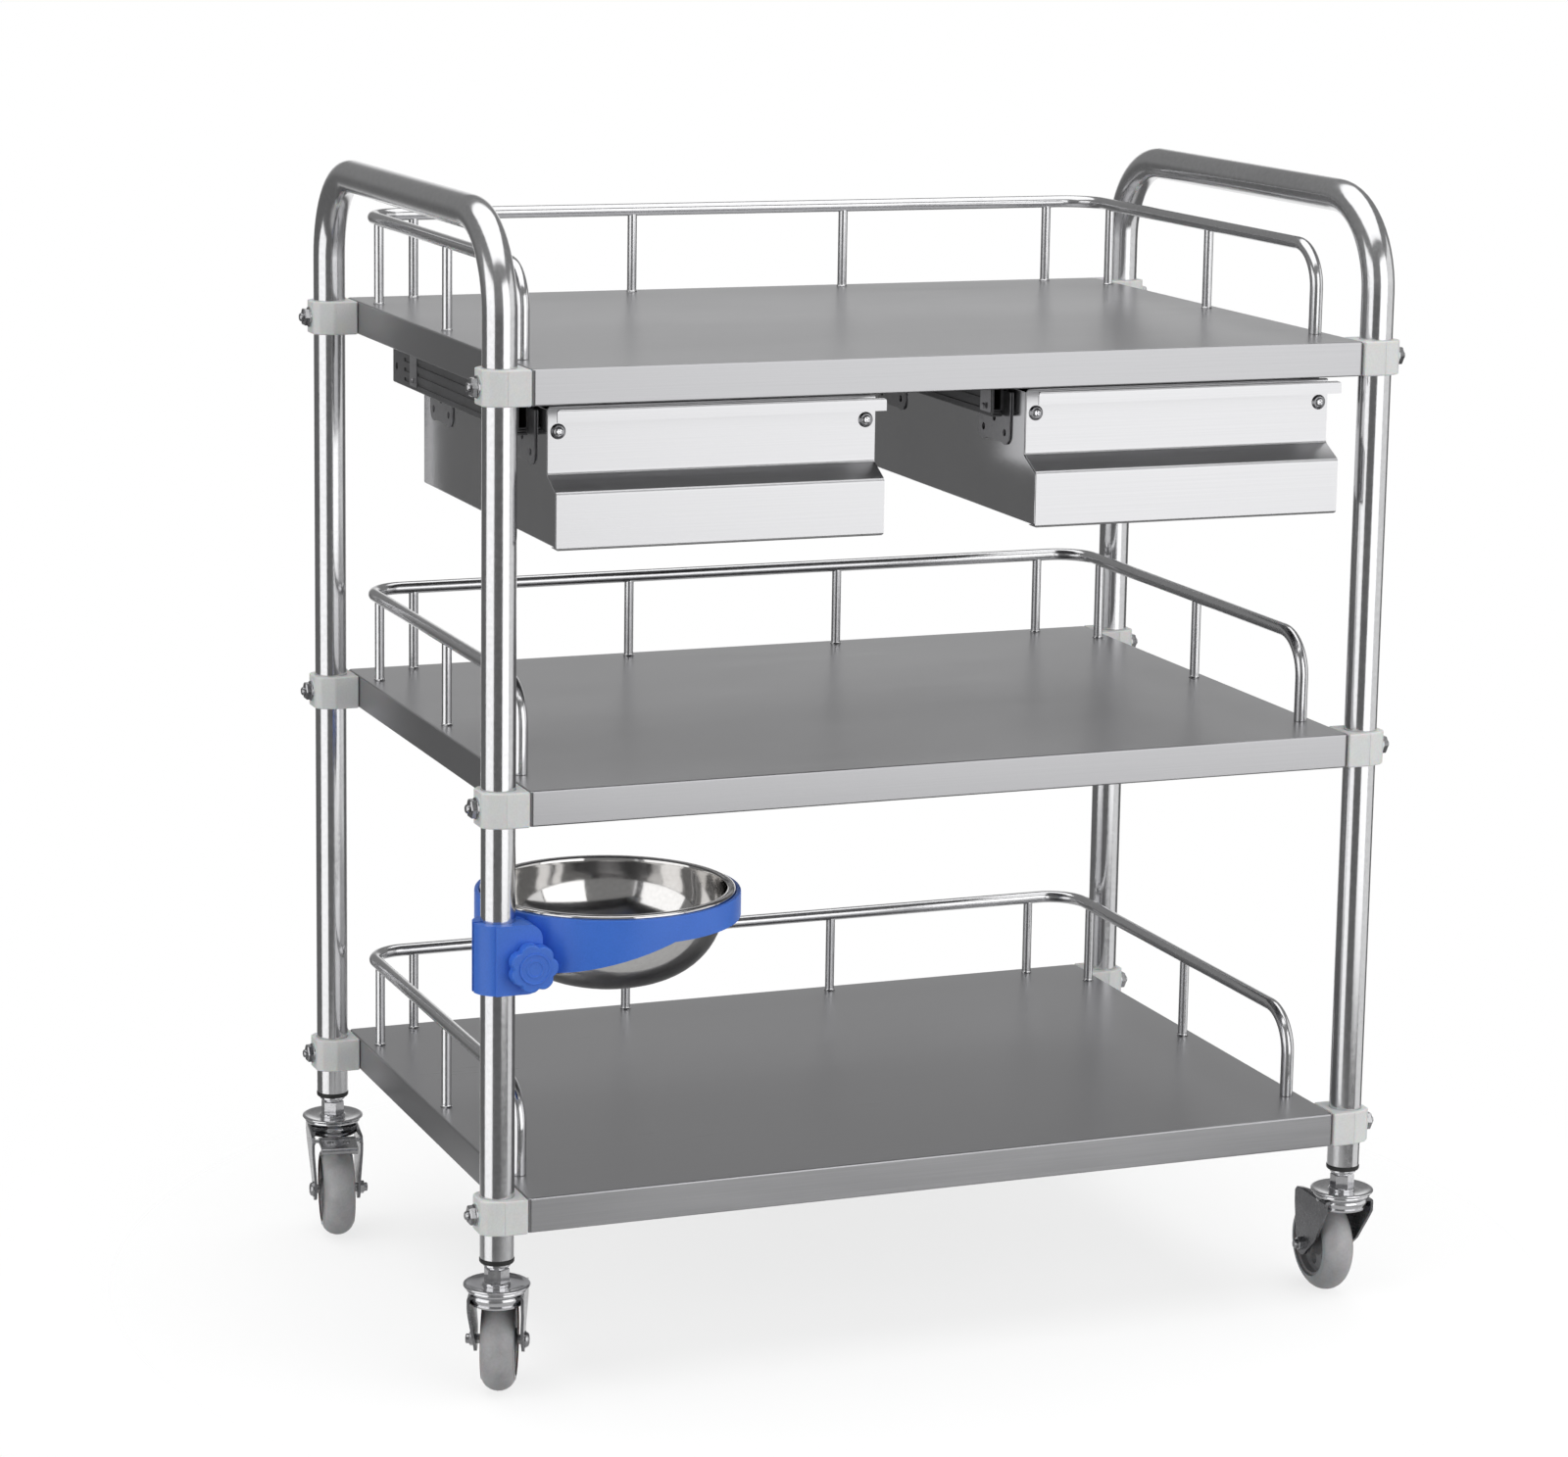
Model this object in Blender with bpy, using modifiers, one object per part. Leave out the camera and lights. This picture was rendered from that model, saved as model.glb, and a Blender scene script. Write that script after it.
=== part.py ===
# Stainless steel medical trolley. Three folded shelves hang between two bent tube
# end frames, with guard rails, two drawers on ball slides, a bowl in a clamp-on
# ring and four swivel castors. Metres, +Z up, front towards -Y.

import math

import bmesh
import bpy
from mathutils import Matrix, Vector

GAP = 0.0003          # clearance between pieces that touch
WELD = 0.00001        # distance within which points are one
OVERRUN = 0.002       # how far a cutter runs past what it cuts

# End frames
FRAME_LENGTH = 0.691      # between the posts' centre lines, left to right
FRAME_DEPTH = 0.439       # between the posts' centre lines, front to back
TUBE_R = 0.0125
TUBE_WALL = 0.0012
HANDLE_RISE = 0.1025      # handle's centre line above the top shelf
BEND_R = 0.068
BEND_STEPS = 5
TUBE_SIDES = 12

# Shelves
SHELF_OVERHANG = 0.0155   # past the posts' centre lines, front and back
SHELF_SPACING = 0.300
LOW_SHELF_RISE = 0.046    # bottom shelf above the feet of the posts
SHELF_RIM = 0.026
SHEET = 0.001
SHELF_RETURN = 0.005
SHELF_CORNER_R = 0.003
CORNER_ROUND_SHARE = 0.5
STIFFENER_WIDTH = 0.030
STIFFENER_DEPTH = 0.014
STIFFENER_FLANGE = 0.0075
STIFFENER_INSET = 0.020

# Guard rails
RAIL_R = 0.005
RAIL_HEIGHT = 0.066
RAIL_INSET = 0.0115
RAIL_PLAN_R = 0.030
RAIL_DROP_R = 0.032
RAIL_FRONT_INSET = 0.0565
RAIL_POST_R = 0.0038
RAIL_POST_MARGIN = 0.010  # last post from the start of a bend
BACK_POSTS = 4
SIDE_POSTS = 2
RAIL_RES = 2
RAIL_BEND_STEPS = 4
POST_SIDES = 8

# Corner clamps and their bolts
CLAMP_WALL = 0.0048
CLAMP_SEAT = 0.0012       # shelf's end past the clamp's round
CLAMP_FLAT_SHARE = 0.42
CLAMP_SIDES = 12
CLAMP_ARC_STEPS = 3
BOLT_R = 0.004
BOLT_HEAD_R = 0.0075
BOLT_HEAD = 0.0055
BOLT_DOME = 0.0015
BOLT_DOME_SHARE = 0.6
BOLT_END = 0.003
NUT_T = 0.0055
HEX_SIDES = 6

# Drawers
DRAWER_SPACE = 0.120      # between the two drawer boxes
DRAWER_DEPTH = 0.321
DRAWER_HEIGHT = 0.100
DRAWER_LOWER_FACE = 0.041
DRAWER_LEDGE_RISE = 0.0105
DRAWER_STEP = 0.020
DRAWER_HEAD_GAP = 0.003
DRAWER_LIP = 0.009
DRAWER_WALL_DROP = 0.006
DRAWER_SHEET = 0.0012
FRONT_RETURN = 0.012
SCREW_R = 0.002
CUP_WASHER_R = 0.0052
CUP_WASHER_T = 0.002
CUP_TAPER_SHARE = 0.8
SCREW_EDGE = 0.0075
SCREW_DROP = 0.021
SCREW_TAIL = 0.004

# Drawer slides
SLIDE_HEIGHT = 0.027
SLIDE_TOP_GAP = 0.001
SLIDE_END_GAP = 0.0055    # outermost slide from the end wall of the shelf
SLIDE_SHEET = 0.0012
SLIDE_RUN = 0.0005
SLIDE_DEPTH = 0.0105
SLIDE_LENGTH = 0.340
SLIDE_FRONT_INSET = 0.002
SLIDE_STEP = 0.004
PLATE_T = 0.0012
PLATE_LENGTH = 0.044
PLATE_HEIGHT = 0.040
PLATE_TOP_DROP = 0.009
PLATE_LOBE_R = 0.009
PLATE_HOLE_R = 0.0026
PLATE_FRONT_INSET = 0.014
PLATE_REAR_INSET = 0.010
HANGER_T = 0.0012
HANGER_WIDTH = 0.024
HANGER_LEG = 0.013
HANGER_OVERLAP = 0.020
HANGER_SHARES = (0.13, 0.80)
HANGER_LEAD = 0.055       # hanger in front of its stiffener

# Castors
WHEEL_R = 0.0375
WHEEL_WIDTH = 0.0245
TREAD_CROWN = 0.0075
TYRE_T = 0.011
HUB_R = 0.0085
HUB_PROUD = 0.00085
WEB_T = 0.009
RIM_LIP = 0.004
WINDOW_R = 0.0045
WINDOW_COUNT = 5
TREAD_DROP_SHARES = (1.0, 0.28, 0.0)
TREAD_WIDTH_SHARES = (1.0, 0.80, 0.38)
TYRE_EDGE_SHARE = 0.9
TYRE_BEAD_SHARE = 0.024
HUB_RIM_SHARE = 0.86
WHEEL_STEPS = 16
AXLE_R = 0.004
AXLE_HEAD_R = 0.0068
AXLE_HEAD = 0.0045
AXLE_TAPER_SHARE = 0.33
AXLE_TAIL = 0.003
TRAIL = 0.030
FORK_SHEET = 0.0022
FORK_SIDE_GAP = 0.0020
FORK_HEADROOM = 0.0102
CROWN_T = 0.0025
FORK_SHOULDER = 0.0100
FORK_FRONT = 0.0155
FORK_REAR = 0.0105
FORK_EYE_R = 0.009
FORK_WAIST_SHARE = 0.20
RACE_R = 0.0215
RACE_T = 0.0040
BRIM_R = 0.0245
BRIM_T = 0.0014
DOME_RISE = 0.0075
DOME_TOP_R = 0.0095
DOME_SHARES = (0.0, 0.5, 0.85, 1.0)
HEX_R = 0.0085
HEX_H = 0.0062
COLLAR_R = 0.0082
COLLAR_H = 0.0039
STEM_R = 0.0060
STEM_RISE = 0.026
BUSH_PROUD = 0.0003
BUSH_LIP = 0.0022
BUSH_SLEEVE = 0.016
STEM_STEPS = 12

# Brake pedals on the rear castors
PEDAL_PIVOT_LEAD = 0.0060
PEDAL_PIVOT_DROP = 0.0057
PEDAL_BARREL_R = 0.0028
PEDAL_T = 0.0018
PEDAL_REACH = 0.025
PEDAL_CURL_R = 0.0030
PIN_R = 0.0015
PIN_HEAD_R = 0.0030
PIN_HEAD = 0.0012

# Bowl, its ring and the ring's clamp
RING_WALL = 0.0035
RING_LEDGE = 0.0060
RING_LEDGE_DROP = 0.0060
RING_LEDGE_T = 0.0030
RING_DROP = 0.0930        # rim of the ring below the middle shelf
RING_STANDOFF = 0.0180    # ring's outside from the post's centre line
RING_ARM_DEG = 28.5
SKIRT_DEEP = 0.0500
SKIRT_SHALLOW = 0.0220
RING_STEPS = 32
JAW_WALL = 0.0060
JAW_TOP_DROP = 0.0030
JAW_HEIGHT = 0.0510
JAW_SPLIT = 0.0030
LUG_END = 0.0090
LUG_T = 0.0135
JAW_STEPS = 16
BRIDGE_MARGIN = 0.0050
SCREW_STANDOFF = 0.0060
SCREW_Z_DROP = 0.0330
KNOB_R = 0.0163
KNOB_LOBE = 0.0017
KNOB_LOBES = 7
KNOB_STEPS = 4
KNOB_T = 0.0100
KNOB_CLEAR = 0.0005
KNOB_FACE_R = 0.0115
KNOB_FACE_T = 0.0010
KNOB_NECK_R = 0.0060
STUD_R = 0.0025
STUD_END = 0.0042
BOWL_RIM_R = 0.0938
BOWL_CLEAR = 0.0007
BOWL_WALL = 0.0008
BOWL_DEPTH = 0.0620
BOWL_LIP = 0.0052
BOWL_STEPS = 20
BOWL_HEIGHT_SHARES = (1.0, 0.97, 0.86, 0.66, 0.42, 0.18, 0.03)
BOWL_RADIUS_SHARES = (0.0, 0.34, 0.56, 0.74, 0.85, 0.905, 0.93)

# Sizes and places worked out from those above
HUB_WIDTH = WHEEL_WIDTH + HUB_PROUD * 2
TYRE_INNER_R = WHEEL_R - TYRE_T
FORK_INSIDE = HUB_WIDTH + FORK_SIDE_GAP * 2
FORK_OUTSIDE = FORK_INSIDE + FORK_SHEET * 2
FORK_TOP_Z = WHEEL_R * 2 + FORK_HEADROOM
DOME_TOP_Z = FORK_TOP_Z + GAP + RACE_T + BRIM_T + DOME_RISE
POST_FOOT_Z = DOME_TOP_Z + HEX_H + COLLAR_H + BUSH_LIP + GAP
PEDAL_PIVOT_S = TRAIL + PEDAL_PIVOT_LEAD
PEDAL_PIVOT_Z = FORK_TOP_Z - PEDAL_PIVOT_DROP
CLAMP_R = TUBE_R + CLAMP_WALL
CLAMP_SEAT_X = CLAMP_R + CLAMP_SEAT - GAP
CLAMP_FLAT_X = CLAMP_R * math.sqrt(1 - CLAMP_FLAT_SHARE ** 2)
BOLT_Z_DROP = SHELF_RIM / 2
RING_R = BOWL_RIM_R + BOWL_CLEAR + RING_WALL
RING_ARM = RING_R + RING_STANDOFF
RING_REACH = RING_R - RING_ARM * math.sin(math.radians(RING_ARM_DEG))
BOWL_SEAT_DROP = RING_LEDGE_DROP - GAP
JAW_R = TUBE_R + JAW_WALL
SCREW_X = TUBE_R + SCREW_STANDOFF
LUG_REACH = SCREW_X + LUG_END
KNOB_BACK = JAW_R + KNOB_CLEAR
POST_X = FRAME_LENGTH / 2
FRAME_Y = (RING_REACH - BRIM_R) / 2
FRONT_Y = FRAME_Y - FRAME_DEPTH / 2
BACK_Y = FRAME_Y + FRAME_DEPTH / 2
SHELF_X = FRAME_LENGTH - (CLAMP_R + CLAMP_SEAT) * 2
SHELF_Y = FRAME_DEPTH + SHELF_OVERHANG * 2
SHELF_FRONT_Y = FRAME_Y - SHELF_Y / 2
SHELF_NAMES = ["bottom", "middle", "top"]
SHELF_Z = [POST_FOOT_Z + LOW_SHELF_RISE + SHELF_SPACING * level for level in range(3)]
HANDLE_Z = SHELF_Z[-1] + HANDLE_RISE
RING_Z = SHELF_Z[1] - RING_DROP
TOP_RIM_Z = SHELF_Z[-1] - SHELF_RIM
DRAWER_BOTTOM_Z = TOP_RIM_Z - DRAWER_HEAD_GAP - DRAWER_HEIGHT
SLIDE_STACK = GAP + PLATE_T + SLIDE_DEPTH
DRAWER_OUTER_X = SHELF_X / 2 - SHEET - SLIDE_END_GAP - SLIDE_STACK
DRAWER_WIDTH = DRAWER_OUTER_X - DRAWER_SPACE / 2
DRAWER_X = DRAWER_OUTER_X - DRAWER_WIDTH / 2
SLIDE_SEAT_X = DRAWER_WIDTH / 2 + GAP + PLATE_T
SLIDE_FRONT_Y = SHELF_FRONT_Y + DRAWER_STEP + SLIDE_FRONT_INSET
HANGER_Y = [SLIDE_FRONT_Y + SLIDE_LENGTH * share for share in HANGER_SHARES]

STEEL = ((0.62, 0.63, 0.64), 0.28, 1.0)
BRUSHED = ((0.50, 0.51, 0.52), 0.38, 1.0)
POLISHED = ((0.70, 0.70, 0.71), 0.12, 1.0)
CHROME = ((0.78, 0.78, 0.80), 0.10, 1.0)
NYLON = ((0.80, 0.80, 0.77), 0.45, 0.0)
BLUE = ((0.045, 0.14, 0.60), 0.38, 0.0)
DARK_STEEL = ((0.06, 0.06, 0.065), 0.40, 0.8)
TREAD = ((0.30, 0.30, 0.31), 0.45, 0.0)
HUB_GREY = ((0.45, 0.45, 0.46), 0.50, 0.0)


def clear_scene():
    for item in list(bpy.data.objects):
        bpy.data.objects.remove(item, do_unlink=True)


def new_collection(name):
    group = bpy.data.collections.new(name)
    bpy.context.scene.collection.children.link(group)
    return group


def add_part(name, mesh, look, location=(0, 0, 0), turn=0, parent=None, sharp=40):
    """One named piece with its own material, smooth-shaded with sharp edges kept."""
    colour, roughness, metallic = look
    finish = bpy.data.materials.new(name)
    finish.use_nodes = True
    shader = finish.node_tree.nodes["Principled BSDF"]
    shader.inputs["Base Color"].default_value = (*colour, 1)
    shader.inputs["Roughness"].default_value = roughness
    shader.inputs["Metallic"].default_value = metallic
    piece = bpy.data.objects.new(name, mesh.copy())
    piece.data.name = name
    piece.data.materials.clear()
    piece.data.materials.append(finish)
    piece.data.shade_smooth()
    piece.data.set_sharp_from_angle(angle=math.radians(sharp))
    piece.location = location
    piece.rotation_euler = (0, 0, turn)
    piece.parent = parent
    trolley.objects.link(piece)
    return piece


def baked(data, modifiers=(), weld=True):
    """Mesh of a curve, or of a mesh with modifiers, with its loose caps welded on."""
    draft = bpy.data.objects.new("draft", data)
    trolley.objects.link(draft)
    for kind, settings in modifiers:
        modifier = draft.modifiers.new(kind.lower(), kind)
        for key, value in settings.items():
            setattr(modifier, key, value)
    view = bpy.context.evaluated_depsgraph_get()
    mesh = bpy.data.meshes.new_from_object(draft.evaluated_get(view))
    bpy.data.objects.remove(draft, do_unlink=True)
    if weld:
        shape = bmesh.new()
        shape.from_mesh(mesh)
        bmesh.ops.remove_doubles(shape, verts=shape.verts, dist=WELD)
        shape.to_mesh(mesh)
        shape.free()
    return mesh


def outward(mesh):
    shape = bmesh.new()
    shape.from_mesh(mesh)
    bmesh.ops.recalc_face_normals(shape, faces=shape.faces)
    shape.to_mesh(mesh)
    shape.free()
    return mesh


def placed(mesh, shift=(0, 0, 0), turn=0, tip=0, lean=0):
    """Copy of a mesh leant about X, tipped about Y, turned about Z and then shifted."""
    copy = mesh.copy()
    move = Matrix.Translation(shift) @ Matrix.Rotation(turn, 4, 'Z')
    copy.transform(move @ Matrix.Rotation(tip, 4, 'Y') @ Matrix.Rotation(lean, 4, 'X'))
    return copy


def mirrored(mesh):
    """Copy of a mesh mirrored left to right."""
    copy = mesh.copy()
    copy.transform(Matrix.Diagonal((-1, 1, 1, 1)))
    return outward(copy)


def combined(mesh, others, operation='DIFFERENCE', solver='EXACT'):
    """Boolean of a mesh with each of the others in turn."""
    tools = []
    for other in others:
        tool = bpy.data.objects.new("cutter", other)
        tool.hide_render = True
        tool.display_type = 'WIRE'
        cutters.objects.link(tool)
        tools.append(tool)
    steps = [("BOOLEAN", {"operation": operation, "object": tool, "solver": solver}) for tool in tools]
    result = baked(mesh, steps, weld=False)
    for tool in tools:
        bpy.data.objects.remove(tool, do_unlink=True)
    return result


def turned(profile, steps, ring=False):
    """Solid of revolution about Z, from (radius, height) pairs down the outer side."""
    count = len(profile)
    edges = [(i, i + 1) for i in range(count - 1)]
    if ring:
        edges.append((count - 1, 0))
    mesh = bpy.data.meshes.new("profile")
    mesh.from_pydata([(r, 0, z) for r, z in profile], edges, [])
    settings = {"angle": math.tau, "steps": steps, "render_steps": steps, "axis": 'Z',
                "use_merge_vertices": True, "merge_threshold": WELD,
                "use_smooth_shade": True}
    return baked(mesh, [("SCREW", settings)])


def rod(radius, low, high, sides):
    """Round bar along Z with a flat, not a corner, towards +X."""
    bar = turned([(0, high), (radius, high), (radius, low), (0, low)], sides)
    return placed(bar, turn=math.pi / sides)


def bore_radius(radius, sides):
    """Corner radius of a bore whose flats clear a round of the given radius."""
    return (radius + GAP) / math.cos(math.pi / sides)


def box(size, centre=(0, 0, 0)):
    shape = bmesh.new()
    matrix = Matrix.Translation(centre) @ Matrix.Diagonal((*size, 1))
    bmesh.ops.create_cube(shape, size=1, matrix=matrix)
    mesh = bpy.data.meshes.new("box")
    shape.to_mesh(mesh)
    shape.free()
    return mesh


def flat_solid(outline, depth, holes=()):
    """Solid of a flat XY outline, with holes, centred on Z = 0."""
    curve = bpy.data.curves.new("outline", type='CURVE')
    curve.dimensions = '2D'
    curve.fill_mode = 'BOTH'
    curve.extrude = depth / 2
    for loop in (outline, *holes):
        spline = curve.splines.new('POLY')
        spline.points.add(len(loop) - 1)
        for point, (x, y) in zip(spline.points, loop):
            point.co = (x, y, 0, 1)
        spline.use_cyclic_u = True
    return outward(baked(curve))


def circle(radius, sides, centre=(0, 0), start=0):
    turns = [start + math.tau * i / sides for i in range(sides)]
    return [(centre[0] + radius * math.cos(a), centre[1] + radius * math.sin(a)) for a in turns]


def arc(radius, first, last, steps, centre=(0, 0)):
    """Points on an arc between two angles in degrees."""
    angles = [math.radians(first + (last - first) * i / steps) for i in range(steps + 1)]
    return [(centre[0] + radius * math.cos(a), centre[1] + radius * math.sin(a)) for a in angles]


def across(mesh):
    """Solid of an outline drawn in (depth, height), run along X: X, Y and Z from Z, X and Y."""
    swap = Matrix(((0, 0, 1, 0), (1, 0, 0, 0), (0, 1, 0, 0), (0, 0, 0, 1)))
    mesh.transform(swap)
    return mesh


def band(line, thickness):
    """Closed outline of a folded sheet: an open line and its copy moved to the left."""
    points = [Vector(p) for p in line]
    headings = [(b - a).normalized() for a, b in zip(points, points[1:])]
    sides = [Vector((-h.y, h.x)) for h in headings]
    moved = []
    for index, point in enumerate(points):
        before = sides[max(index - 1, 0)]
        after = sides[min(index, len(sides) - 1)]
        mitre = before + after
        moved.append(point + mitre * (thickness / mitre.dot(after)))
    return [tuple(p) for p in points] + [tuple(p) for p in reversed(moved)]


def upright(mesh):
    """Solid of an outline drawn in (X, height), run along -Y without mirroring it."""
    mesh.transform(Matrix(((1, 0, 0, 0), (0, 0, -1, 0), (0, 1, 0, 0), (0, 0, 0, 1))))
    return mesh


def rounded_path(corners, radii, steps):
    """Corner points of a bent tube with each right-angled bend drawn as an arc."""
    points = [Vector(corners[0])]
    for before, corner, after, radius in zip(corners, corners[1:], corners[2:], radii):
        corner = Vector(corner)
        along = (corner - Vector(before)).normalized()
        away = (Vector(after) - corner).normalized()
        for step in range(steps + 1):
            swing = math.pi * step / (steps * 2)
            back = along * (radius * (1 - math.sin(swing)))
            out = away * (radius * (1 - math.cos(swing)))
            points.append(corner - back + out)
    points.append(Vector(corners[-1]))
    return points


def tube(points, radius, resolution, caps=True):
    """Round bar along the points, with 4 + 2 x resolution sides."""
    curve = bpy.data.curves.new("path", type='CURVE')
    curve.dimensions = '3D'
    curve.bevel_depth = radius
    curve.bevel_resolution = resolution
    curve.use_fill_caps = caps
    spline = curve.splines.new('POLY')
    spline.points.add(len(points) - 1)
    for item, point in zip(spline.points, points):
        item.co = (*point, 1)
    return outward(baked(curve))


def cross_bore(reach):
    """Cutter along X that clears a clamp bolt."""
    return placed(rod(bore_radius(BOLT_R, HEX_SIDES), -reach, reach, HEX_SIDES), tip=math.pi / 2)


def build_end_frames():
    """Inverted-U tubes: two posts and the handle between them, open at the feet."""
    low, high = POST_FOOT_Z, HANDLE_Z
    corners = [(0, FRONT_Y, low), (0, FRONT_Y, high), (0, BACK_Y, high), (0, BACK_Y, low)]
    path = rounded_path(corners, (BEND_R, BEND_R), BEND_STEPS)
    outer = tube(path, TUBE_R, (TUBE_SIDES - 4) // 2)
    foot = Vector((0, 0, OVERRUN))
    path[0] -= foot
    path[-1] -= foot
    inner = tube(path, TUBE_R - TUBE_WALL, (TUBE_SIDES - 4) // 2)
    bore = cross_bore(TUBE_R + OVERRUN)
    bores = [placed(bore, (0, y, z - BOLT_Z_DROP)) for y in (FRONT_Y, BACK_Y) for z in SHELF_Z]
    hollow = combined(outer, [inner, *bores])
    for side, name in ((-1, "left"), (1, "right")):
        add_part("end_frame_" + name, hollow, POLISHED, (side * POST_X, 0, 0))


def tray_block(inset, low, high):
    """Block with rounded upright edges, drawn in by the inset from the tray's outline."""
    block = box((SHELF_X - inset * 2, SHELF_Y - inset * 2, high - low), (0, 0, (low + high) / 2))
    shape = bmesh.new()
    shape.from_mesh(block)
    corners = [e for e in shape.edges if abs(e.verts[0].co.z - e.verts[1].co.z) > SHEET]
    bmesh.ops.bevel(shape, geom=corners, offset=SHELF_CORNER_R, segments=2, profile=CORNER_ROUND_SHARE,
                    affect='EDGES')
    shape.to_mesh(block)
    shape.free()
    return block


def tray_mesh():
    """Sheet tray with its rim folded down and a return at the foot of the rim."""
    hollow = tray_block(SHEET, SHEET - SHELF_RIM, -SHEET)
    mouth = tray_block(SHELF_RETURN, -SHELF_RIM - OVERRUN, -SHELF_RIM / 2)
    return combined(tray_block(0, -SHELF_RIM, 0), [hollow, mouth])


def hat_mesh():
    """Hat channel along X, its flanges let into the underside of the sheet."""
    wide = STIFFENER_WIDTH / 2
    flange = wide + STIFFENER_FLANGE
    line = [(-flange, 0), (-wide, 0), (-wide, -STIFFENER_DEPTH),
            (wide, -STIFFENER_DEPTH), (wide, 0), (flange, 0)]
    length = SHELF_X - (SHEET + STIFFENER_INSET) * 2
    return placed(across(flat_solid(band(line, -SHEET), length)), (0, 0, -SHEET / 2))


def build_shelves():
    """Three trays, each with two hat channels welded under it."""
    hat = hat_mesh()
    rows = [y + HANGER_LEAD - FRAME_Y for y in HANGER_Y]
    shelf = combined(tray_mesh(), [placed(hat, (0, y, 0)) for y in rows], 'UNION')
    bore = cross_bore(SHELF_RETURN / 2)
    sides, ends = (-SHELF_X / 2, SHELF_X / 2), (-FRAME_DEPTH / 2, FRAME_DEPTH / 2)
    shelf = combined(shelf, [placed(bore, (x, y, -BOLT_Z_DROP)) for x in sides for y in ends])
    for name, z in zip(SHELF_NAMES, SHELF_Z):
        add_part("shelf_" + name, shelf, BRUSHED, (0, FRAME_Y, z))


def build_guard_rails():
    """A rail round the back and both sides of each shelf, welded to eight posts."""
    x = SHELF_X / 2 - RAIL_INSET
    back = FRAME_Y + SHELF_Y / 2 - RAIL_INSET
    front = SHELF_FRONT_Y + RAIL_FRONT_INSET
    top = RAIL_HEIGHT
    corners = [(-x, front, GAP), (-x, front, top), (-x, back, top),
               (x, back, top), (x, front, top), (x, front, GAP)]
    radii = (RAIL_DROP_R, RAIL_PLAN_R, RAIL_PLAN_R, RAIL_DROP_R)
    rail = tube(rounded_path(corners, radii, RAIL_BEND_STEPS), RAIL_R, RAIL_RES)
    post = rod(RAIL_POST_R, GAP, top, HEX_SIDES)
    bend = RAIL_PLAN_R + RAIL_POST_MARGIN
    back_step = (x - bend) * 2 / (BACK_POSTS - 1)
    side_step = (back - bend - front) / SIDE_POSTS
    spots = [(x - bend - back_step * i, back) for i in range(BACK_POSTS)]
    spots += [(side * x, back - bend - side_step * i) for side in (-1, 1) for i in range(SIDE_POSTS)]
    guard = combined(rail, [placed(post, (px, py, 0)) for px, py in spots], 'UNION')
    for name, z in zip(SHELF_NAMES, SHELF_Z):
        add_part("guard_rail_" + name, guard, POLISHED, (0, 0, z))


def clamp_mesh():
    """Saddle round a post at the origin, flat against the shelf at -X, with its bolt."""
    edge = math.degrees(math.asin(CLAMP_FLAT_SHARE))
    outline = [(-CLAMP_SEAT_X, CLAMP_R), (-CLAMP_SEAT_X, -CLAMP_R)]
    outline += arc(CLAMP_R, -90, -edge, CLAMP_ARC_STEPS)
    outline += arc(CLAMP_R, edge, 90, CLAMP_ARC_STEPS)
    bore = circle(bore_radius(TUBE_R, CLAMP_SIDES), CLAMP_SIDES)
    saddle = placed(flat_solid(outline, SHELF_RIM, [bore]), (0, 0, -BOLT_Z_DROP))
    head = CLAMP_FLAT_X + BOLT_HEAD
    nut = -CLAMP_SEAT_X - GAP - SHEET - GAP
    head_profile = [(0, head + BOLT_DOME), (BOLT_HEAD_R * BOLT_DOME_SHARE, head + BOLT_DOME),
                    (BOLT_HEAD_R, head), (BOLT_HEAD_R, CLAMP_FLAT_X - GAP), (0, CLAMP_FLAT_X - GAP)]
    nut_profile = [(0, nut), (BOLT_HEAD_R, nut), (BOLT_HEAD_R, nut - NUT_T), (0, nut - NUT_T)]
    shank = rod(BOLT_R, nut - NUT_T - BOLT_END, CLAMP_FLAT_X + GAP, HEX_SIDES)
    pieces = [shank, turned(head_profile, HEX_SIDES), turned(nut_profile, HEX_SIDES)]
    bolt = [placed(piece, (0, 0, -BOLT_Z_DROP), tip=math.pi / 2) for piece in pieces]
    return combined(saddle, bolt, 'UNION')


def build_clamps():
    """A nylon saddle and its bolt at each corner of each shelf."""
    clamp = clamp_mesh()
    corners = {"front_left": (-POST_X, FRONT_Y, math.pi), "front_right": (POST_X, FRONT_Y, 0),
               "rear_left": (-POST_X, BACK_Y, math.pi), "rear_right": (POST_X, BACK_Y, 0)}
    for level, z in zip(SHELF_NAMES, SHELF_Z):
        for corner, (x, y, turn) in corners.items():
            add_part("clamp_" + level + "_" + corner, clamp, NYLON, (x, y, z), turn)


def front_line():
    """Folded line of a drawer front in (depth, height), from its foot to its lip."""
    low = DRAWER_BOTTOM_Z
    bend = low + DRAWER_LOWER_FACE
    top = TOP_RIM_Z - DRAWER_HEAD_GAP
    return [(FRONT_RETURN, low), (0, low), (0, bend), (DRAWER_STEP, bend + DRAWER_LEDGE_RISE),
            (DRAWER_STEP, top), (0, top), (0, top - DRAWER_LIP)]


def box_outline(inset, top):
    """Side outline of a drawer box behind its folded front, drawn in evenly by the inset."""
    skin = DRAWER_SHEET + GAP + inset
    low = DRAWER_BOTTOM_Z + skin
    slope = math.atan2(DRAWER_LEDGE_RISE, DRAWER_STEP)
    bend = DRAWER_BOTTOM_Z + DRAWER_LOWER_FACE - skin * math.tan((math.pi / 2 - slope) / 2)
    shoulder = (DRAWER_STEP + skin, bend + DRAWER_LEDGE_RISE)
    rear = DRAWER_DEPTH - inset
    return [(skin, low), (skin, bend), shoulder, (DRAWER_STEP + skin, top), (rear, top), (rear, low)]


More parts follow.
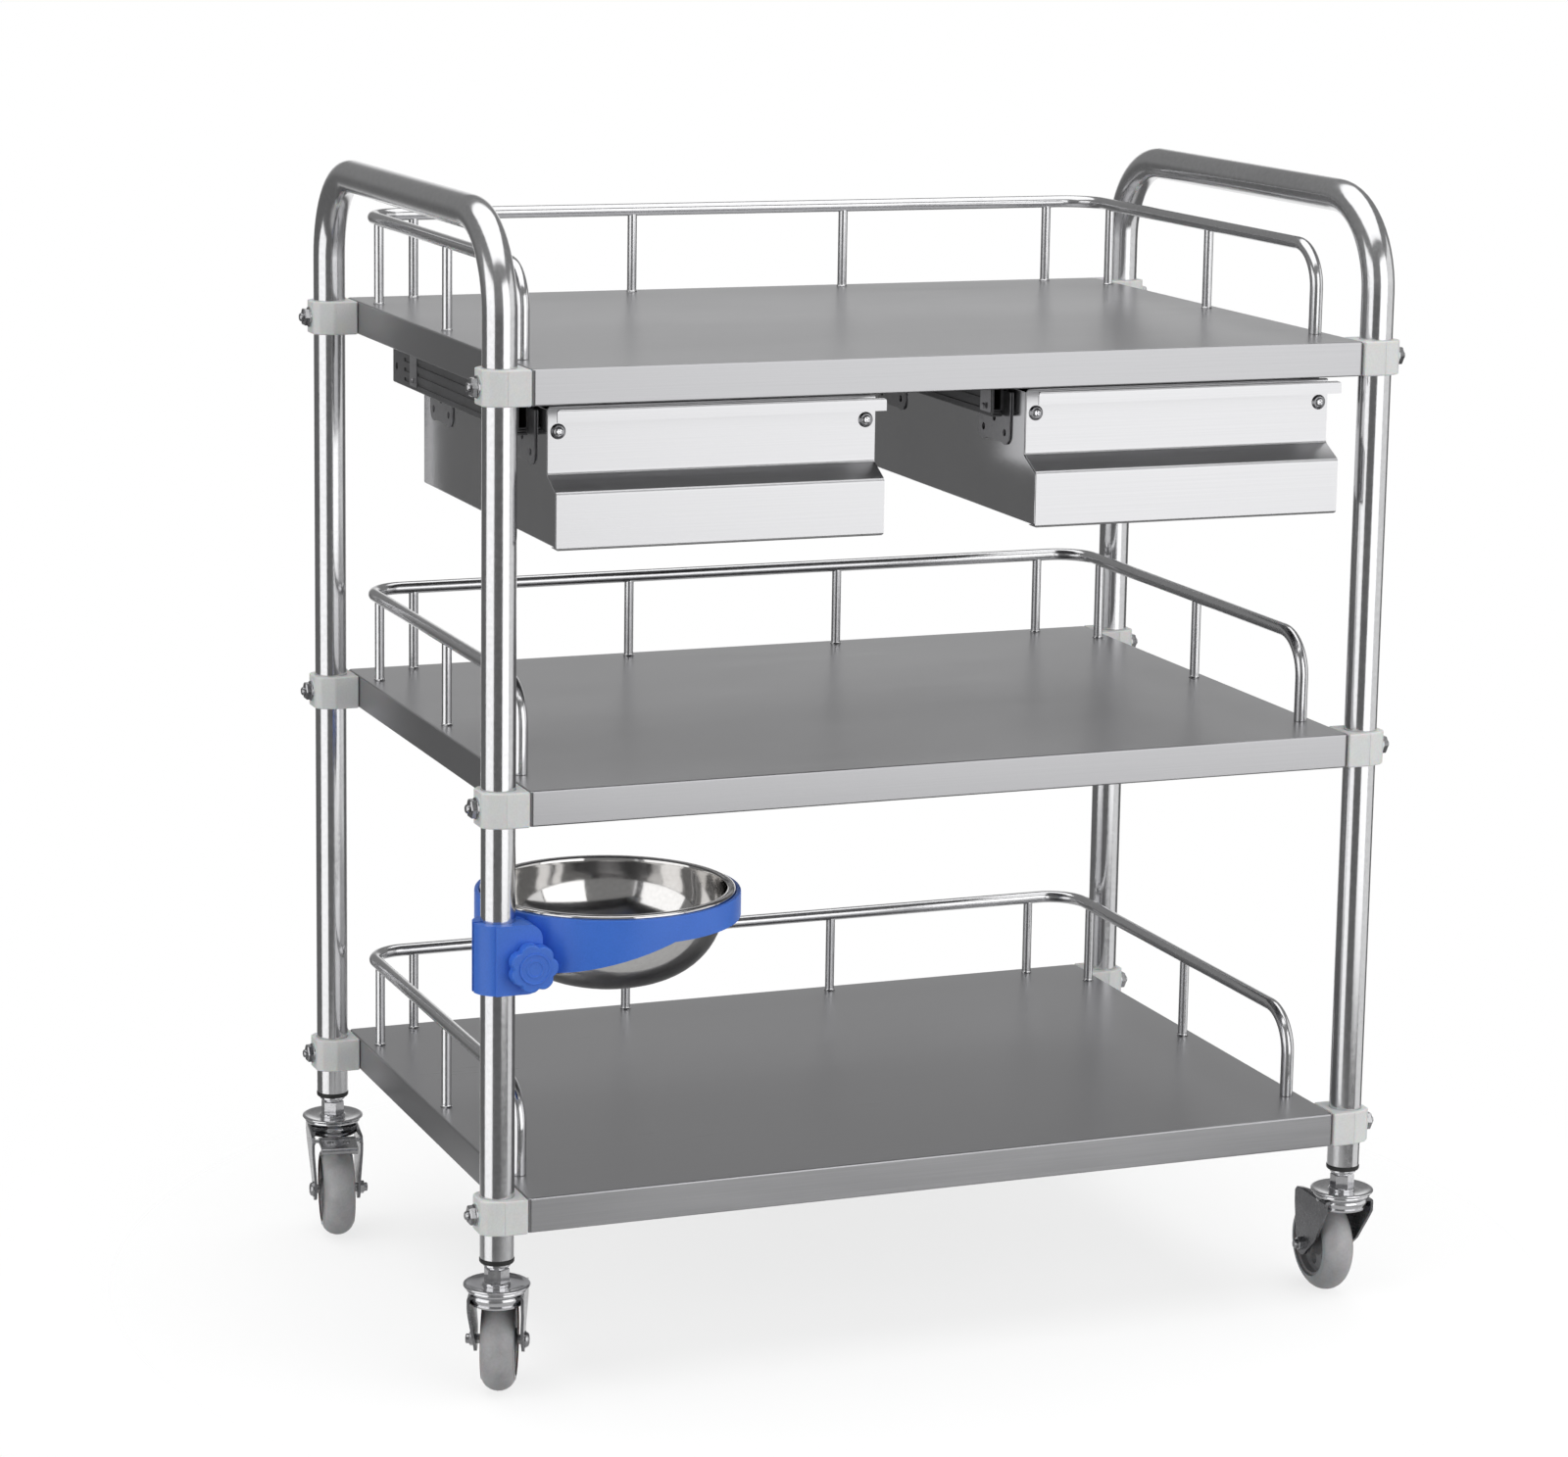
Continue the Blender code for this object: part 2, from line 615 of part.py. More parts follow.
def front_mesh(screw_x, screw_z):
    """Folded front with its finger lip and two screws in cup washers."""
    sheet = across(flat_solid(band(front_line(), -DRAWER_SHEET), DRAWER_WIDTH))
    face = DRAWER_STEP + DRAWER_SHEET / 2
    cup = DRAWER_STEP - CUP_WASHER_T
    tail = DRAWER_STEP + DRAWER_SHEET * 2 + SCREW_TAIL
    profile = [(0, tail), (SCREW_R, tail), (SCREW_R, face), (CUP_WASHER_R, face),
               (CUP_WASHER_R, DRAWER_STEP), (CUP_WASHER_R * CUP_TAPER_SHARE, cup),
               (SCREW_R, cup), (0, cup + CUP_WASHER_T / 2)]
    screw = placed(turned(profile, POST_SIDES), lean=-math.pi / 2)
    screws = [placed(screw, (side * screw_x, 0, screw_z)) for side in (-1, 1)]
    return combined(sheet, screws, 'UNION')


def build_drawer(name, x):
    """Open sheet box with a stepped front."""
    screw_x = DRAWER_WIDTH / 2 - SCREW_EDGE
    screw_z = TOP_RIM_Z - SCREW_DROP
    top = TOP_RIM_Z - DRAWER_WALL_DROP
    solid = across(flat_solid(box_outline(0, top), DRAWER_WIDTH))
    inside = across(flat_solid(box_outline(DRAWER_SHEET, top + OVERRUN), DRAWER_WIDTH - DRAWER_SHEET * 2))
    hole = placed(rod(bore_radius(SCREW_R, POST_SIDES), -SCREW_EDGE, SCREW_EDGE, POST_SIDES),
                  lean=math.pi / 2)
    spots = [(side * screw_x, DRAWER_STEP, screw_z) for side in (-1, 1)]
    tray = combined(solid, [inside, *[placed(hole, spot) for spot in spots]])
    add_part(name + "_box", tray, BRUSHED, (x, SHELF_FRONT_Y, 0))
    add_part(name + "_front", front_mesh(screw_x, screw_z), STEEL, (x, SHELF_FRONT_Y, 0))


def along(mesh):
    """Solid of an outline drawn in (X, height), run along Y."""
    mesh.transform(Matrix(((1, 0, 0, 0), (0, 0, 1, 0), (0, 1, 0, 0), (0, 0, 0, 1))))
    return outward(mesh)


def channel(height, depth, length):
    """C channel along Y, web on X = 0, flanges towards +X, centred in height."""
    low, high = -height / 2, height / 2
    line = [(depth, low), (0, low), (0, high), (depth, high)]
    return along(flat_solid(band(line, -SLIDE_SHEET), length))


def lobed_plate(thickness):
    """Plate with two rounded lobes at its foot and three holes, standing in the YZ plane."""
    wide = PLATE_LENGTH / 2
    lobe = wide - PLATE_LOBE_R
    foot = PLATE_LOBE_R - PLATE_HEIGHT
    outline = [(wide, 0), (-wide, 0)]
    outline += arc(PLATE_LOBE_R, 180, 300, 4, (-lobe, foot))
    outline += arc(PLATE_LOBE_R, 240, 360, 4, (lobe, foot))
    spots = [(-lobe, foot), (lobe, foot), (0, foot + PLATE_LOBE_R)]
    holes = [circle(PLATE_HOLE_R, HEX_SIDES, spot) for spot in spots]
    return across(flat_solid(outline, thickness, holes))


def build_slides(name, x):
    """Three-member slides on both sides of a drawer, hung under the top shelf."""
    step = SLIDE_SHEET + SLIDE_RUN
    outer_x = SLIDE_SEAT_X + SLIDE_DEPTH
    z = TOP_RIM_Z - SLIDE_TOP_GAP - SLIDE_HEIGHT / 2
    reach = SLIDE_DEPTH - step
    outer = channel(SLIDE_HEIGHT, reach, SLIDE_LENGTH)
    middle = channel(SLIDE_HEIGHT - step * 2, reach - step, SLIDE_LENGTH - SLIDE_STEP)
    inner = channel(SLIDE_HEIGHT - step * 4, reach - step, SLIDE_LENGTH - SLIDE_STEP * 2)
    centre = SLIDE_FRONT_Y + SLIDE_LENGTH / 2
    lap = SLIDE_SHEET / 2
    plate = placed(lobed_plate(PLATE_T + lap), (-(PLATE_T - lap) / 2, 0, TOP_RIM_Z - PLATE_TOP_DROP - z))
    plate_front = SHELF_FRONT_Y + DRAWER_STEP + PLATE_FRONT_INSET + PLATE_LENGTH / 2
    plate_rear = SHELF_FRONT_Y + DRAWER_DEPTH - PLATE_REAR_INSET - PLATE_LENGTH / 2
    plates = [placed(plate, (0, y - centre, 0)) for y in (plate_front, plate_rear)]
    carrier = combined(inner, plates, 'UNION', 'MANIFOLD')
    top = SHELF_Z[-1] - SHEET - GAP - z
    line = [(-HANGER_LEG, top), (0, top), (0, SLIDE_HEIGHT / 2 - HANGER_OVERLAP)]
    hanger = placed(along(flat_solid(band(line, -HANGER_T), HANGER_WIDTH)), (HANGER_T - lap, 0, 0))
    hangers = [placed(hanger, (0, y - centre, 0)) for y in HANGER_Y]
    hung = combined(placed(outer, turn=math.pi), hangers, 'UNION')
    members = {"outer": (hung, outer_x), "middle": (placed(middle, turn=math.pi), outer_x - step),
               "inner": (carrier, SLIDE_SEAT_X)}
    for member, (mesh, offset) in members.items():
        label = name + "_slide_" + member
        add_part(label + "_left", mirrored(mesh), DARK_STEEL, (x - offset, centre, z))
        add_part(label + "_right", mesh, DARK_STEEL, (x + offset, centre, z))


def build_drawers():
    for side, name in ((-1, "drawer_left"), (1, "drawer_right")):
        build_drawer(name, side * DRAWER_X)
        build_slides(name, side * DRAWER_X)


def tyre_mesh():
    """Crowned tyre about the local Z axis, whose flats lie at the wheel's radius."""
    wide = WHEEL_WIDTH / 2
    out = 1 / math.cos(math.pi / WHEEL_STEPS)
    upper = [((WHEEL_R - TREAD_CROWN * drop) * out, wide * share)
             for drop, share in zip(TREAD_DROP_SHARES, TREAD_WIDTH_SHARES)]
    tread = upper + [(r, -z) for r, z in reversed(upper)]
    edge = wide * TYRE_EDGE_SHARE
    wall = TYRE_INNER_R + TYRE_T * TYRE_BEAD_SHARE
    rest = [(wall, -wide), (TYRE_INNER_R, -edge), (TYRE_INNER_R, edge), (wall, wide)]
    return placed(turned(tread + rest, WHEEL_STEPS, ring=True), turn=math.pi / WHEEL_STEPS)


def hub_mesh():
    """Hub with a thin web between boss and rim, and round windows in the web."""
    rim_out = TYRE_INNER_R - GAP / math.cos(math.pi / WHEEL_STEPS)
    rim_in = rim_out - RIM_LIP
    bore = bore_radius(AXLE_R, WHEEL_STEPS)
    wide, web, boss = WHEEL_WIDTH / 2 * HUB_RIM_SHARE, WEB_T / 2, HUB_WIDTH / 2
    upper = [(bore, boss), (HUB_R, boss), (HUB_R, web), (rim_in, web), (rim_in, wide), (rim_out, wide)]
    lower = [(r, -z) for r, z in reversed(upper)]
    hub = placed(turned(upper + lower, WHEEL_STEPS, ring=True), turn=math.pi / WHEEL_STEPS)
    middle = (HUB_R + rim_in) / 2
    window = rod(WINDOW_R, -wide, wide, HEX_SIDES)
    return combined(hub, [placed(window, (x, y, 0)) for x, y in circle(middle, WINDOW_COUNT)])


def fork_mesh(braked):
    """Stamped yoke with its axle bolt: a crown and two arms down to the eye, trail along +X."""
    eye = arc(FORK_EYE_R, -150, 0, 5, (TRAIL, WHEEL_R))
    rear = TRAIL + FORK_REAR
    waist = WHEEL_R + FORK_EYE_R
    outline = [(rear, waist), (rear, FORK_TOP_Z), (-FORK_FRONT, FORK_TOP_Z),
               (-FORK_FRONT, FORK_TOP_Z - FORK_SHOULDER), (TRAIL * FORK_WAIST_SHARE, waist)]
    side = upright(flat_solid(outline + eye, FORK_OUTSIDE))
    slot_top, slot_low = FORK_TOP_Z - CROWN_T, -OVERRUN
    slot = box((rear + FORK_FRONT + OVERRUN * 2, FORK_INSIDE, slot_top - slot_low),
               ((rear - FORK_FRONT) / 2, 0, (slot_top + slot_low) / 2))
    cuts = [slot]
    if braked:
        pin_bore = rod(bore_radius(PIN_R, POST_SIDES), -FORK_OUTSIDE, FORK_OUTSIDE, POST_SIDES)
        cuts.append(placed(pin_bore, (PEDAL_PIVOT_S, 0, PEDAL_PIVOT_Z), lean=math.pi / 2))
    yoke = combined(side, cuts)
    seat = FORK_OUTSIDE / 2 - GAP
    end = FORK_OUTSIDE / 2 + AXLE_HEAD
    shoulder = end - AXLE_HEAD * AXLE_TAPER_SHARE
    head = [(0, end), (AXLE_HEAD_R * CUP_TAPER_SHARE, end), (AXLE_HEAD_R, shoulder),
            (AXLE_HEAD_R, seat), (0, seat)]
    nut = [(0, -seat), (AXLE_HEAD_R, -seat), (AXLE_HEAD_R, -end), (0, -end)]
    pieces = [rod(AXLE_R, -end - AXLE_TAIL, seat + GAP, POST_SIDES), turned(head, HEX_SIDES),
              turned(nut, HEX_SIDES)]
    axle = [placed(piece, (TRAIL, 0, WHEEL_R), lean=math.pi / 2) for piece in pieces]
    return combined(yoke, axle, 'UNION')


def head_mesh():
    """Fixed castor head: race, domed cap, hexagon, collar, bush and the stem up the post."""
    race_low = FORK_TOP_Z + GAP
    brim_low = race_low + RACE_T
    brim_top = brim_low + BRIM_T
    sweep = [(DOME_TOP_R + (BRIM_R - DOME_TOP_R) * share, brim_top + DOME_RISE * (1 - share ** 2))
             for share in DOME_SHARES]
    hex_top = DOME_TOP_Z + HEX_H
    lip_top = POST_FOOT_Z - GAP
    lip_low = lip_top - BUSH_LIP
    lip = TUBE_R + BUSH_PROUD
    stem_top = POST_FOOT_Z + STEM_RISE
    sleeve_top = lip_top + BUSH_SLEEVE
    sleeve = (TUBE_R - TUBE_WALL) * math.cos(math.pi / TUBE_SIDES) - GAP
    body = [(0, stem_top), (STEM_R, stem_top), (STEM_R, sleeve_top), (sleeve, sleeve_top),
            (sleeve, lip_top), (lip, lip_top), (lip, lip_low), (COLLAR_R, lip_low),
            (COLLAR_R, DOME_TOP_Z), *sweep, (BRIM_R, brim_low), (RACE_R, brim_low),
            (RACE_R, race_low), (0, race_low)]
    nut = [(0, hex_top), (HEX_R, hex_top), (HEX_R, DOME_TOP_Z - GAP), (0, DOME_TOP_Z - GAP)]
    return combined(turned(body, STEM_STEPS), [turned(nut, HEX_SIDES)], 'UNION')


def pedal_mesh():
    """Foot pedal with a beaded edge and its pivot pin, about the pin, reaching along +X."""
    half_t = PEDAL_T / 2
    bead = (PEDAL_REACH - PEDAL_CURL_R, half_t - PEDAL_CURL_R)
    outline = arc(PEDAL_BARREL_R, 40, 320, 6) + [(PEDAL_REACH - PEDAL_CURL_R * 2, -half_t)]
    outline += arc(PEDAL_CURL_R, -180, 60, 6, bead)
    plate = upright(flat_solid(outline, FORK_INSIDE - GAP * 2))
    seat = FORK_OUTSIDE / 2 + GAP
    end = seat + PIN_HEAD
    profile = [(0, end), (PIN_HEAD_R, end), (PIN_HEAD_R, seat), (PIN_R, seat),
               (PIN_R, -seat), (PIN_HEAD_R, -seat), (PIN_HEAD_R, -end), (0, -end)]
    pin = placed(turned(profile, POST_SIDES), lean=math.pi / 2)
    return combined(plate, [pin], 'UNION')


def build_castors():
    """Four swivel castors; the rear pair carries brake pedals."""
    tyre, hub = (placed(mesh, lean=math.pi / 2) for mesh in (tyre_mesh(), hub_mesh()))
    forks = {braked: fork_mesh(braked) for braked in (False, True)}
    head, pedal = head_mesh(), pedal_mesh()
    corners = {"front_left": (-POST_X, FRONT_Y, 68, False), "front_right": (POST_X, FRONT_Y, 87, False),
               "rear_left": (-POST_X, BACK_Y, 260, True), "rear_right": (POST_X, BACK_Y, 248, True)}
    for name, (x, y, heading, braked) in corners.items():
        add_part("castor_head_" + name, head, CHROME, (x, y, 0))
        pivot = bpy.data.objects.new("swivel_" + name, None)
        pivot.location = (x, y, 0)
        pivot.rotation_euler = (0, 0, math.radians(heading))
        trolley.objects.link(pivot)
        axle = (TRAIL, 0, WHEEL_R)
        add_part("castor_fork_" + name, forks[braked], CHROME, parent=pivot)
        add_part("castor_tyre_" + name, tyre, TREAD, axle, parent=pivot)
        add_part("castor_hub_" + name, hub, HUB_GREY, axle, parent=pivot)
        if braked:
            add_part("brake_pedal_" + name, pedal, CHROME, (PEDAL_PIVOT_S, 0, PEDAL_PIVOT_Z), parent=pivot)


def ring_mesh():
    """Ring with an inner ledge and a skirt cut on a slope, deepest at the post's side, -X."""
    inner = RING_R - RING_WALL
    ledge = inner - RING_LEDGE
    ledge_low = -RING_LEDGE_DROP - RING_LEDGE_T
    profile = [(inner, 0), (RING_R, 0), (RING_R, -SKIRT_DEEP), (inner, -SKIRT_DEEP),
               (inner, ledge_low), (ledge, ledge_low), (ledge, -RING_LEDGE_DROP), (inner, -RING_LEDGE_DROP)]
    ring = turned(profile, RING_STEPS, ring=True)
    slope = math.atan2(SKIRT_DEEP - SKIRT_SHALLOW, RING_R * 2)
    slab = box((RING_R * 3, RING_R * 3, SKIRT_DEEP * 2), (RING_R, 0, -SKIRT_DEEP))
    return combined(ring, [placed(slab, (-RING_R, 0, -SKIRT_DEEP), tip=-slope)])


def half_space(side):
    """Cutter for all that lies on one side of the split between the jaws."""
    wide = JAW_R * 3
    return box((wide * 2, wide, wide * 2), (0, side * (wide - JAW_SPLIT) / 2, 0))


def build_bowl_holder():
    """Ring and rear jaw in one moulding, a front jaw, the knob on its stud, and the bowl."""
    heading = math.radians(RING_ARM_DEG)
    arm = (math.cos(heading) * RING_ARM, math.sin(heading) * RING_ARM, 0)
    high = -JAW_TOP_DROP
    low = high - JAW_HEIGHT
    mid = (high + low) / 2
    post_bore = rod(bore_radius(TUBE_R, JAW_STEPS), low - OVERRUN, high + OVERRUN, JAW_STEPS)
    stud_bore = placed(rod(bore_radius(STUD_R, POST_SIDES), -STUD_END - GAP, JAW_R, POST_SIDES),
                       (SCREW_X, 0, -SCREW_Z_DROP), lean=math.pi / 2)
    lug = box((LUG_REACH, LUG_T * 2, JAW_HEIGHT), (LUG_REACH / 2, 0, mid))
    body = combined(rod(JAW_R, low, high, JAW_STEPS), [lug], 'UNION')
    middle_wall = RING_R - RING_WALL / 2
    reach = RING_ARM - middle_wall
    bridge = placed(box((reach, JAW_R, JAW_HEIGHT - BRIDGE_MARGIN * 2), (reach / 2, 0, mid)), turn=heading)
    inside = placed(rod(middle_wall, low - OVERRUN, high + OVERRUN, RING_STEPS), arm, turn=heading)
    skirt = placed(rod(RING_R + KNOB_CLEAR, low - OVERRUN, high + OVERRUN, RING_STEPS), arm, turn=heading)
    split = placed(half_space(-1), (0, 0, mid))
    rear = combined(combined(body, [bridge], 'UNION'), [split, inside])
    ring = combined(placed(ring_mesh(), arm, turn=heading), [rear], 'UNION', 'MANIFOLD')
    post = Vector((-POST_X, FRONT_Y, RING_Z))
    add_part("bowl_ring", combined(ring, [post_bore, stud_bore], solver='MANIFOLD'), BLUE, post)
    jaw = combined(body, [placed(half_space(1), (0, 0, mid)), skirt, post_bore, stud_bore])
    add_part("bowl_clamp_jaw", jaw, BLUE, post)
    add_part("clamp_knob", knob_mesh(), BLUE, post + Vector((SCREW_X, 0, -SCREW_Z_DROP)))
    add_part("bowl", bowl_mesh(), POLISHED, post + Vector(arm) - Vector((0, 0, BOWL_SEAT_DROP)))


def knob_mesh():
    """Lobed knob facing -Y, with a raised face, a neck that bears on the jaw and its stud."""
    lobes = []
    sides = KNOB_LOBES * KNOB_STEPS
    for i in range(sides):
        swing = math.tau * i / sides
        reach = KNOB_R + KNOB_LOBE * math.cos(KNOB_LOBES * swing)
        lobes.append((reach * math.cos(swing), reach * math.sin(swing)))
    grip = placed(flat_solid(lobes, KNOB_T), (0, 0, KNOB_BACK + KNOB_T / 2))
    front = KNOB_BACK + KNOB_T
    neck = LUG_T + GAP
    core = [(0, front + KNOB_FACE_T), (KNOB_FACE_R, front + KNOB_FACE_T), (KNOB_FACE_R, front - KNOB_FACE_T),
            (KNOB_NECK_R, front - KNOB_FACE_T), (KNOB_NECK_R, neck), (0, neck)]
    stud = rod(STUD_R, -STUD_END, neck + KNOB_FACE_T, POST_SIDES)
    return placed(combined(grip, [turned(core, STEM_STEPS), stud], 'UNION', 'MANIFOLD'),
                  lean=math.pi / 2)


def bowl_mesh():
    """Pressed bowl with a rolled rim that rests on the ledge of the ring."""
    inner = [(BOWL_RIM_R * r, BOWL_LIP - BOWL_DEPTH * h)
             for r, h in zip(BOWL_RADIUS_SHARES, BOWL_HEIGHT_SHARES)]
    rim = [(BOWL_RIM_R - BOWL_WALL * 2, BOWL_LIP), (BOWL_RIM_R, BOWL_LIP - BOWL_WALL * 2), (BOWL_RIM_R, 0)]
    mesh = bpy.data.meshes.new("profile")
    points = inner + rim
    mesh.from_pydata([(r, 0, z) for r, z in points], [(i, i + 1) for i in range(len(points) - 1)], [])
    spin = {"angle": math.tau, "steps": BOWL_STEPS, "render_steps": BOWL_STEPS, "axis": 'Z',
            "use_merge_vertices": True, "merge_threshold": WELD, "use_smooth_shade": True}
    wall = {"thickness": BOWL_WALL, "offset": -1, "use_even_offset": True}
    return outward(baked(mesh, [("SCREW", spin), ("SOLIDIFY", wall)]))


clear_scene()
trolley = new_collection("medical_trolley")
cutters = new_collection("cutters")
build_end_frames()
build_shelves()
build_guard_rails()
build_clamps()
build_drawers()
build_castors()
build_bowl_holder()
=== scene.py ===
import math

import bmesh
import bpy
from mathutils import Matrix, Vector


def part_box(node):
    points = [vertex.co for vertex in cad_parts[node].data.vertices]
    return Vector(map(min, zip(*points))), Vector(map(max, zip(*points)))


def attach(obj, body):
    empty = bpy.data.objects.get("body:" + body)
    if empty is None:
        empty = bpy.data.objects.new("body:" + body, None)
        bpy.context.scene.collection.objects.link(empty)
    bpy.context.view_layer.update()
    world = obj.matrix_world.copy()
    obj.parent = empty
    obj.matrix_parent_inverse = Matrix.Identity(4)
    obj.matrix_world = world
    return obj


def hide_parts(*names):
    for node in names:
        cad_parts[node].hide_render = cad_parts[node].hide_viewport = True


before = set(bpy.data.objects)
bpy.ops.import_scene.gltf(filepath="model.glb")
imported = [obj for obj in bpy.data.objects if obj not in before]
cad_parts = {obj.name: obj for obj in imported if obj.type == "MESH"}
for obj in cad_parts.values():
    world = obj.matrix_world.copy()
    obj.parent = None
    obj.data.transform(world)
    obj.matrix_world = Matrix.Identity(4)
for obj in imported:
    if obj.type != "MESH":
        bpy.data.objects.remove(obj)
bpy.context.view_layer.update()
scene = bpy.context.scene

onEdge = (90, 0, 90)  # stands a flat outline of depth and height upright, its thickness along X


# everyday moves

def objectMode():
    if bpy.context.mode != 'OBJECT':
        bpy.ops.object.mode_set(mode='OBJECT')


def pick(*pieces):
    objectMode()
    bpy.ops.object.select_all(action='DESELECT')
    for piece in pieces:
        piece.select_set(True)
    bpy.context.view_layer.objects.active = pieces[0]


def edit(piece):
    pick(piece)
    bpy.ops.object.mode_set(mode='EDIT')
    bpy.ops.mesh.select_all(action='SELECT')


def choose(piece, kind, test):
    # selects the points, edges or faces that pass a test
    bpy.ops.mesh.select_mode(type=kind)
    bpy.ops.mesh.select_all(action='DESELECT')
    shape = bmesh.from_edit_mesh(piece.data)
    for item in {'VERT': shape.verts, 'EDGE': shape.edges, 'FACE': shape.faces}[kind]:
        item.select_set(test(item))
    bmesh.update_edit_mesh(piece.data)


def extrude(move):
    bpy.ops.mesh.extrude_region_move(TRANSFORM_OT_translate={"value": tuple(move)})


def rename(name):
    piece = bpy.context.object
    piece.name = name
    piece.data.name = name
    return piece


def place(piece, spot=(0, 0, 0), turn=(0, 0, 0)):
    # turn in degrees about X, Y and Z, then the move, all kept in the mesh
    pick(piece)
    piece.rotation_euler = [math.radians(angle) for angle in turn]
    piece.location = spot
    bpy.ops.object.transform_apply(location=True, rotation=True, scale=True)
    return piece


def copyOf(piece, name, spot, turn=(0, 0, 0)):
    pick(piece)
    bpy.ops.object.duplicate(linked=False)
    return place(rename(name), spot, turn)


def drop(*pieces):
    pick(*pieces)
    bpy.ops.object.delete()


def joined(name, *pieces):
    pick(*pieces)
    if len(pieces) > 1:
        bpy.ops.object.join()
    return rename(name)


def modify(piece, kind, **settings):
    pick(piece)
    modifier = piece.modifiers.new(kind.lower(), kind)
    for key, value in settings.items():
        setattr(modifier, key, value)
    bpy.ops.object.modifier_apply(modifier=modifier.name)
    return piece


def cut(piece, tool, operation='DIFFERENCE'):
    modify(piece, 'BOOLEAN', object=tool, operation=operation, solver='EXACT')
    drop(tool)
    return piece


def soften(piece, width, segments, angle):
    return modify(piece, 'BEVEL', width=width, segments=segments, limit_method='ANGLE',
                  angle_limit=math.radians(angle))


# ways to shape a piece

shaping = {"bendSteps": 14, "tubeWeld": 0.00001, "ringWeld": 0.000002, "facing": 0.9, "upright": 0.01}


def upright(edge):
    return abs(edge.verts[0].co.z - edge.verts[1].co.z) > shaping["upright"]


def cylinder(name, radius, low, high, sides):
    bpy.ops.mesh.primitive_cylinder_add(vertices=sides, radius=radius, depth=high - low)
    return place(rename(name), (0, 0, (low + high) / 2))


def block(name, low, high):
    bpy.ops.mesh.primitive_cube_add(size=1)
    piece = rename(name)
    piece.scale = [b - a for a, b in zip(low, high)]
    return place(piece, [(a + b) / 2 for a, b in zip(low, high)])


def arc(centre, radius, start, stop, steps):
    # points round a centre, from one angle in degrees to another
    swings = [math.radians(start + (stop - start) * i / steps) for i in range(steps + 1)]
    return [(centre[0] + radius * math.cos(swing), centre[1] + radius * math.sin(swing)) for swing in swings]


def mirrored(half):
    # a row of points, then the same points backwards with the second value turned round
    return list(half) + [(first, -second) for first, second in reversed(half)]


def growTube(name, spot, radius, moves, sides):
    # a ring of points pulled along runs and spun round bends
    bpy.ops.mesh.primitive_circle_add(vertices=sides, radius=radius, location=spot)
    piece = rename(name)
    edit(piece)
    for move in moves:
        if move[0] == "run":
            extrude(move[1])
        else:
            centre, axis = move[1:]
            bpy.ops.mesh.spin(steps=shaping["bendSteps"], angle=-math.pi / 2, center=centre, axis=axis)
    bpy.ops.mesh.select_all(action='SELECT')
    bpy.ops.mesh.remove_doubles(threshold=shaping["tubeWeld"])
    bpy.ops.mesh.normals_make_consistent(inside=False)
    return place(piece, spot)


def stackRings(name, rings, sides, closed=False):
    # a disc, or an open ring, pulled up and scaled ring by ring; closed runs back to its start
    radius, height = rings[0]
    fill = 'NOTHING' if closed else 'NGON'
    bpy.ops.mesh.primitive_circle_add(vertices=sides, radius=radius, fill_type=fill)
    piece = place(rename(name), (0, 0, height))
    edit(piece)
    for (wide, low), (wider, high) in zip(rings, rings[1:] + rings[:1] * closed):
        extrude((0, 0, high - low))
        bpy.ops.transform.resize(value=(wider / wide, wider / wide, 1), center_override=(0, 0, high))
    bpy.ops.mesh.select_all(action='SELECT')
    bpy.ops.mesh.remove_doubles(threshold=shaping["ringWeld"])
    bpy.ops.mesh.normals_make_consistent(inside=False)
    objectMode()
    return piece


def foldSheet(name, width, line, thickness, bend, segments=3):
    # one edge along X pulled from fold to fold of a (depth, height) line, then given its thickness
    bpy.ops.mesh.primitive_plane_add(size=width)
    piece = rename(name)
    edit(piece)
    choose(piece, 'VERT', lambda point: point.co.y > 0)
    bpy.ops.mesh.delete(type='VERT')
    bpy.ops.mesh.select_all(action='SELECT')
    bpy.ops.transform.translate(value=(0, line[0][0] + width / 2, line[0][1]))
    for before, after in zip(line, line[1:]):
        extrude((0, after[0] - before[0], after[1] - before[1]))
    choose(piece, 'EDGE', lambda edge: len(edge.link_faces) == 2)
    bpy.ops.mesh.bevel(offset=bend, segments=segments)
    side = math.copysign(1, thickness)
    return modify(piece, 'SOLIDIFY', thickness=abs(thickness), offset=side, use_even_offset=True)


def flatOutline(name, corners, thickness, rounds=0):
    # a face of points in the XY plane pulled to a plate from Z = 0, its corners rounded first
    bpy.ops.mesh.primitive_circle_add(vertices=len(corners), radius=1, fill_type='NGON')
    piece = rename(name)
    for point, (x, y) in zip(piece.data.vertices, corners):
        point.co = (x, y, 0)
    edit(piece)
    if rounds:
        bpy.ops.mesh.bevel(affect='VERTICES', offset=rounds, segments=4)
    bpy.ops.mesh.select_all(action='SELECT')
    extrude((0, 0, thickness))
    bpy.ops.mesh.select_all(action='SELECT')
    bpy.ops.mesh.normals_make_consistent(inside=False)
    objectMode()
    return piece


# finishes, all mixed from noise on object coordinates

mixing = {"noiseRoughness": 0.6, "roughSpan": (0.3, 0.7), "toneSpan": (0.32, 0.68), "grainShare": 0.6,
          "tyreGrainShare": 0.3}

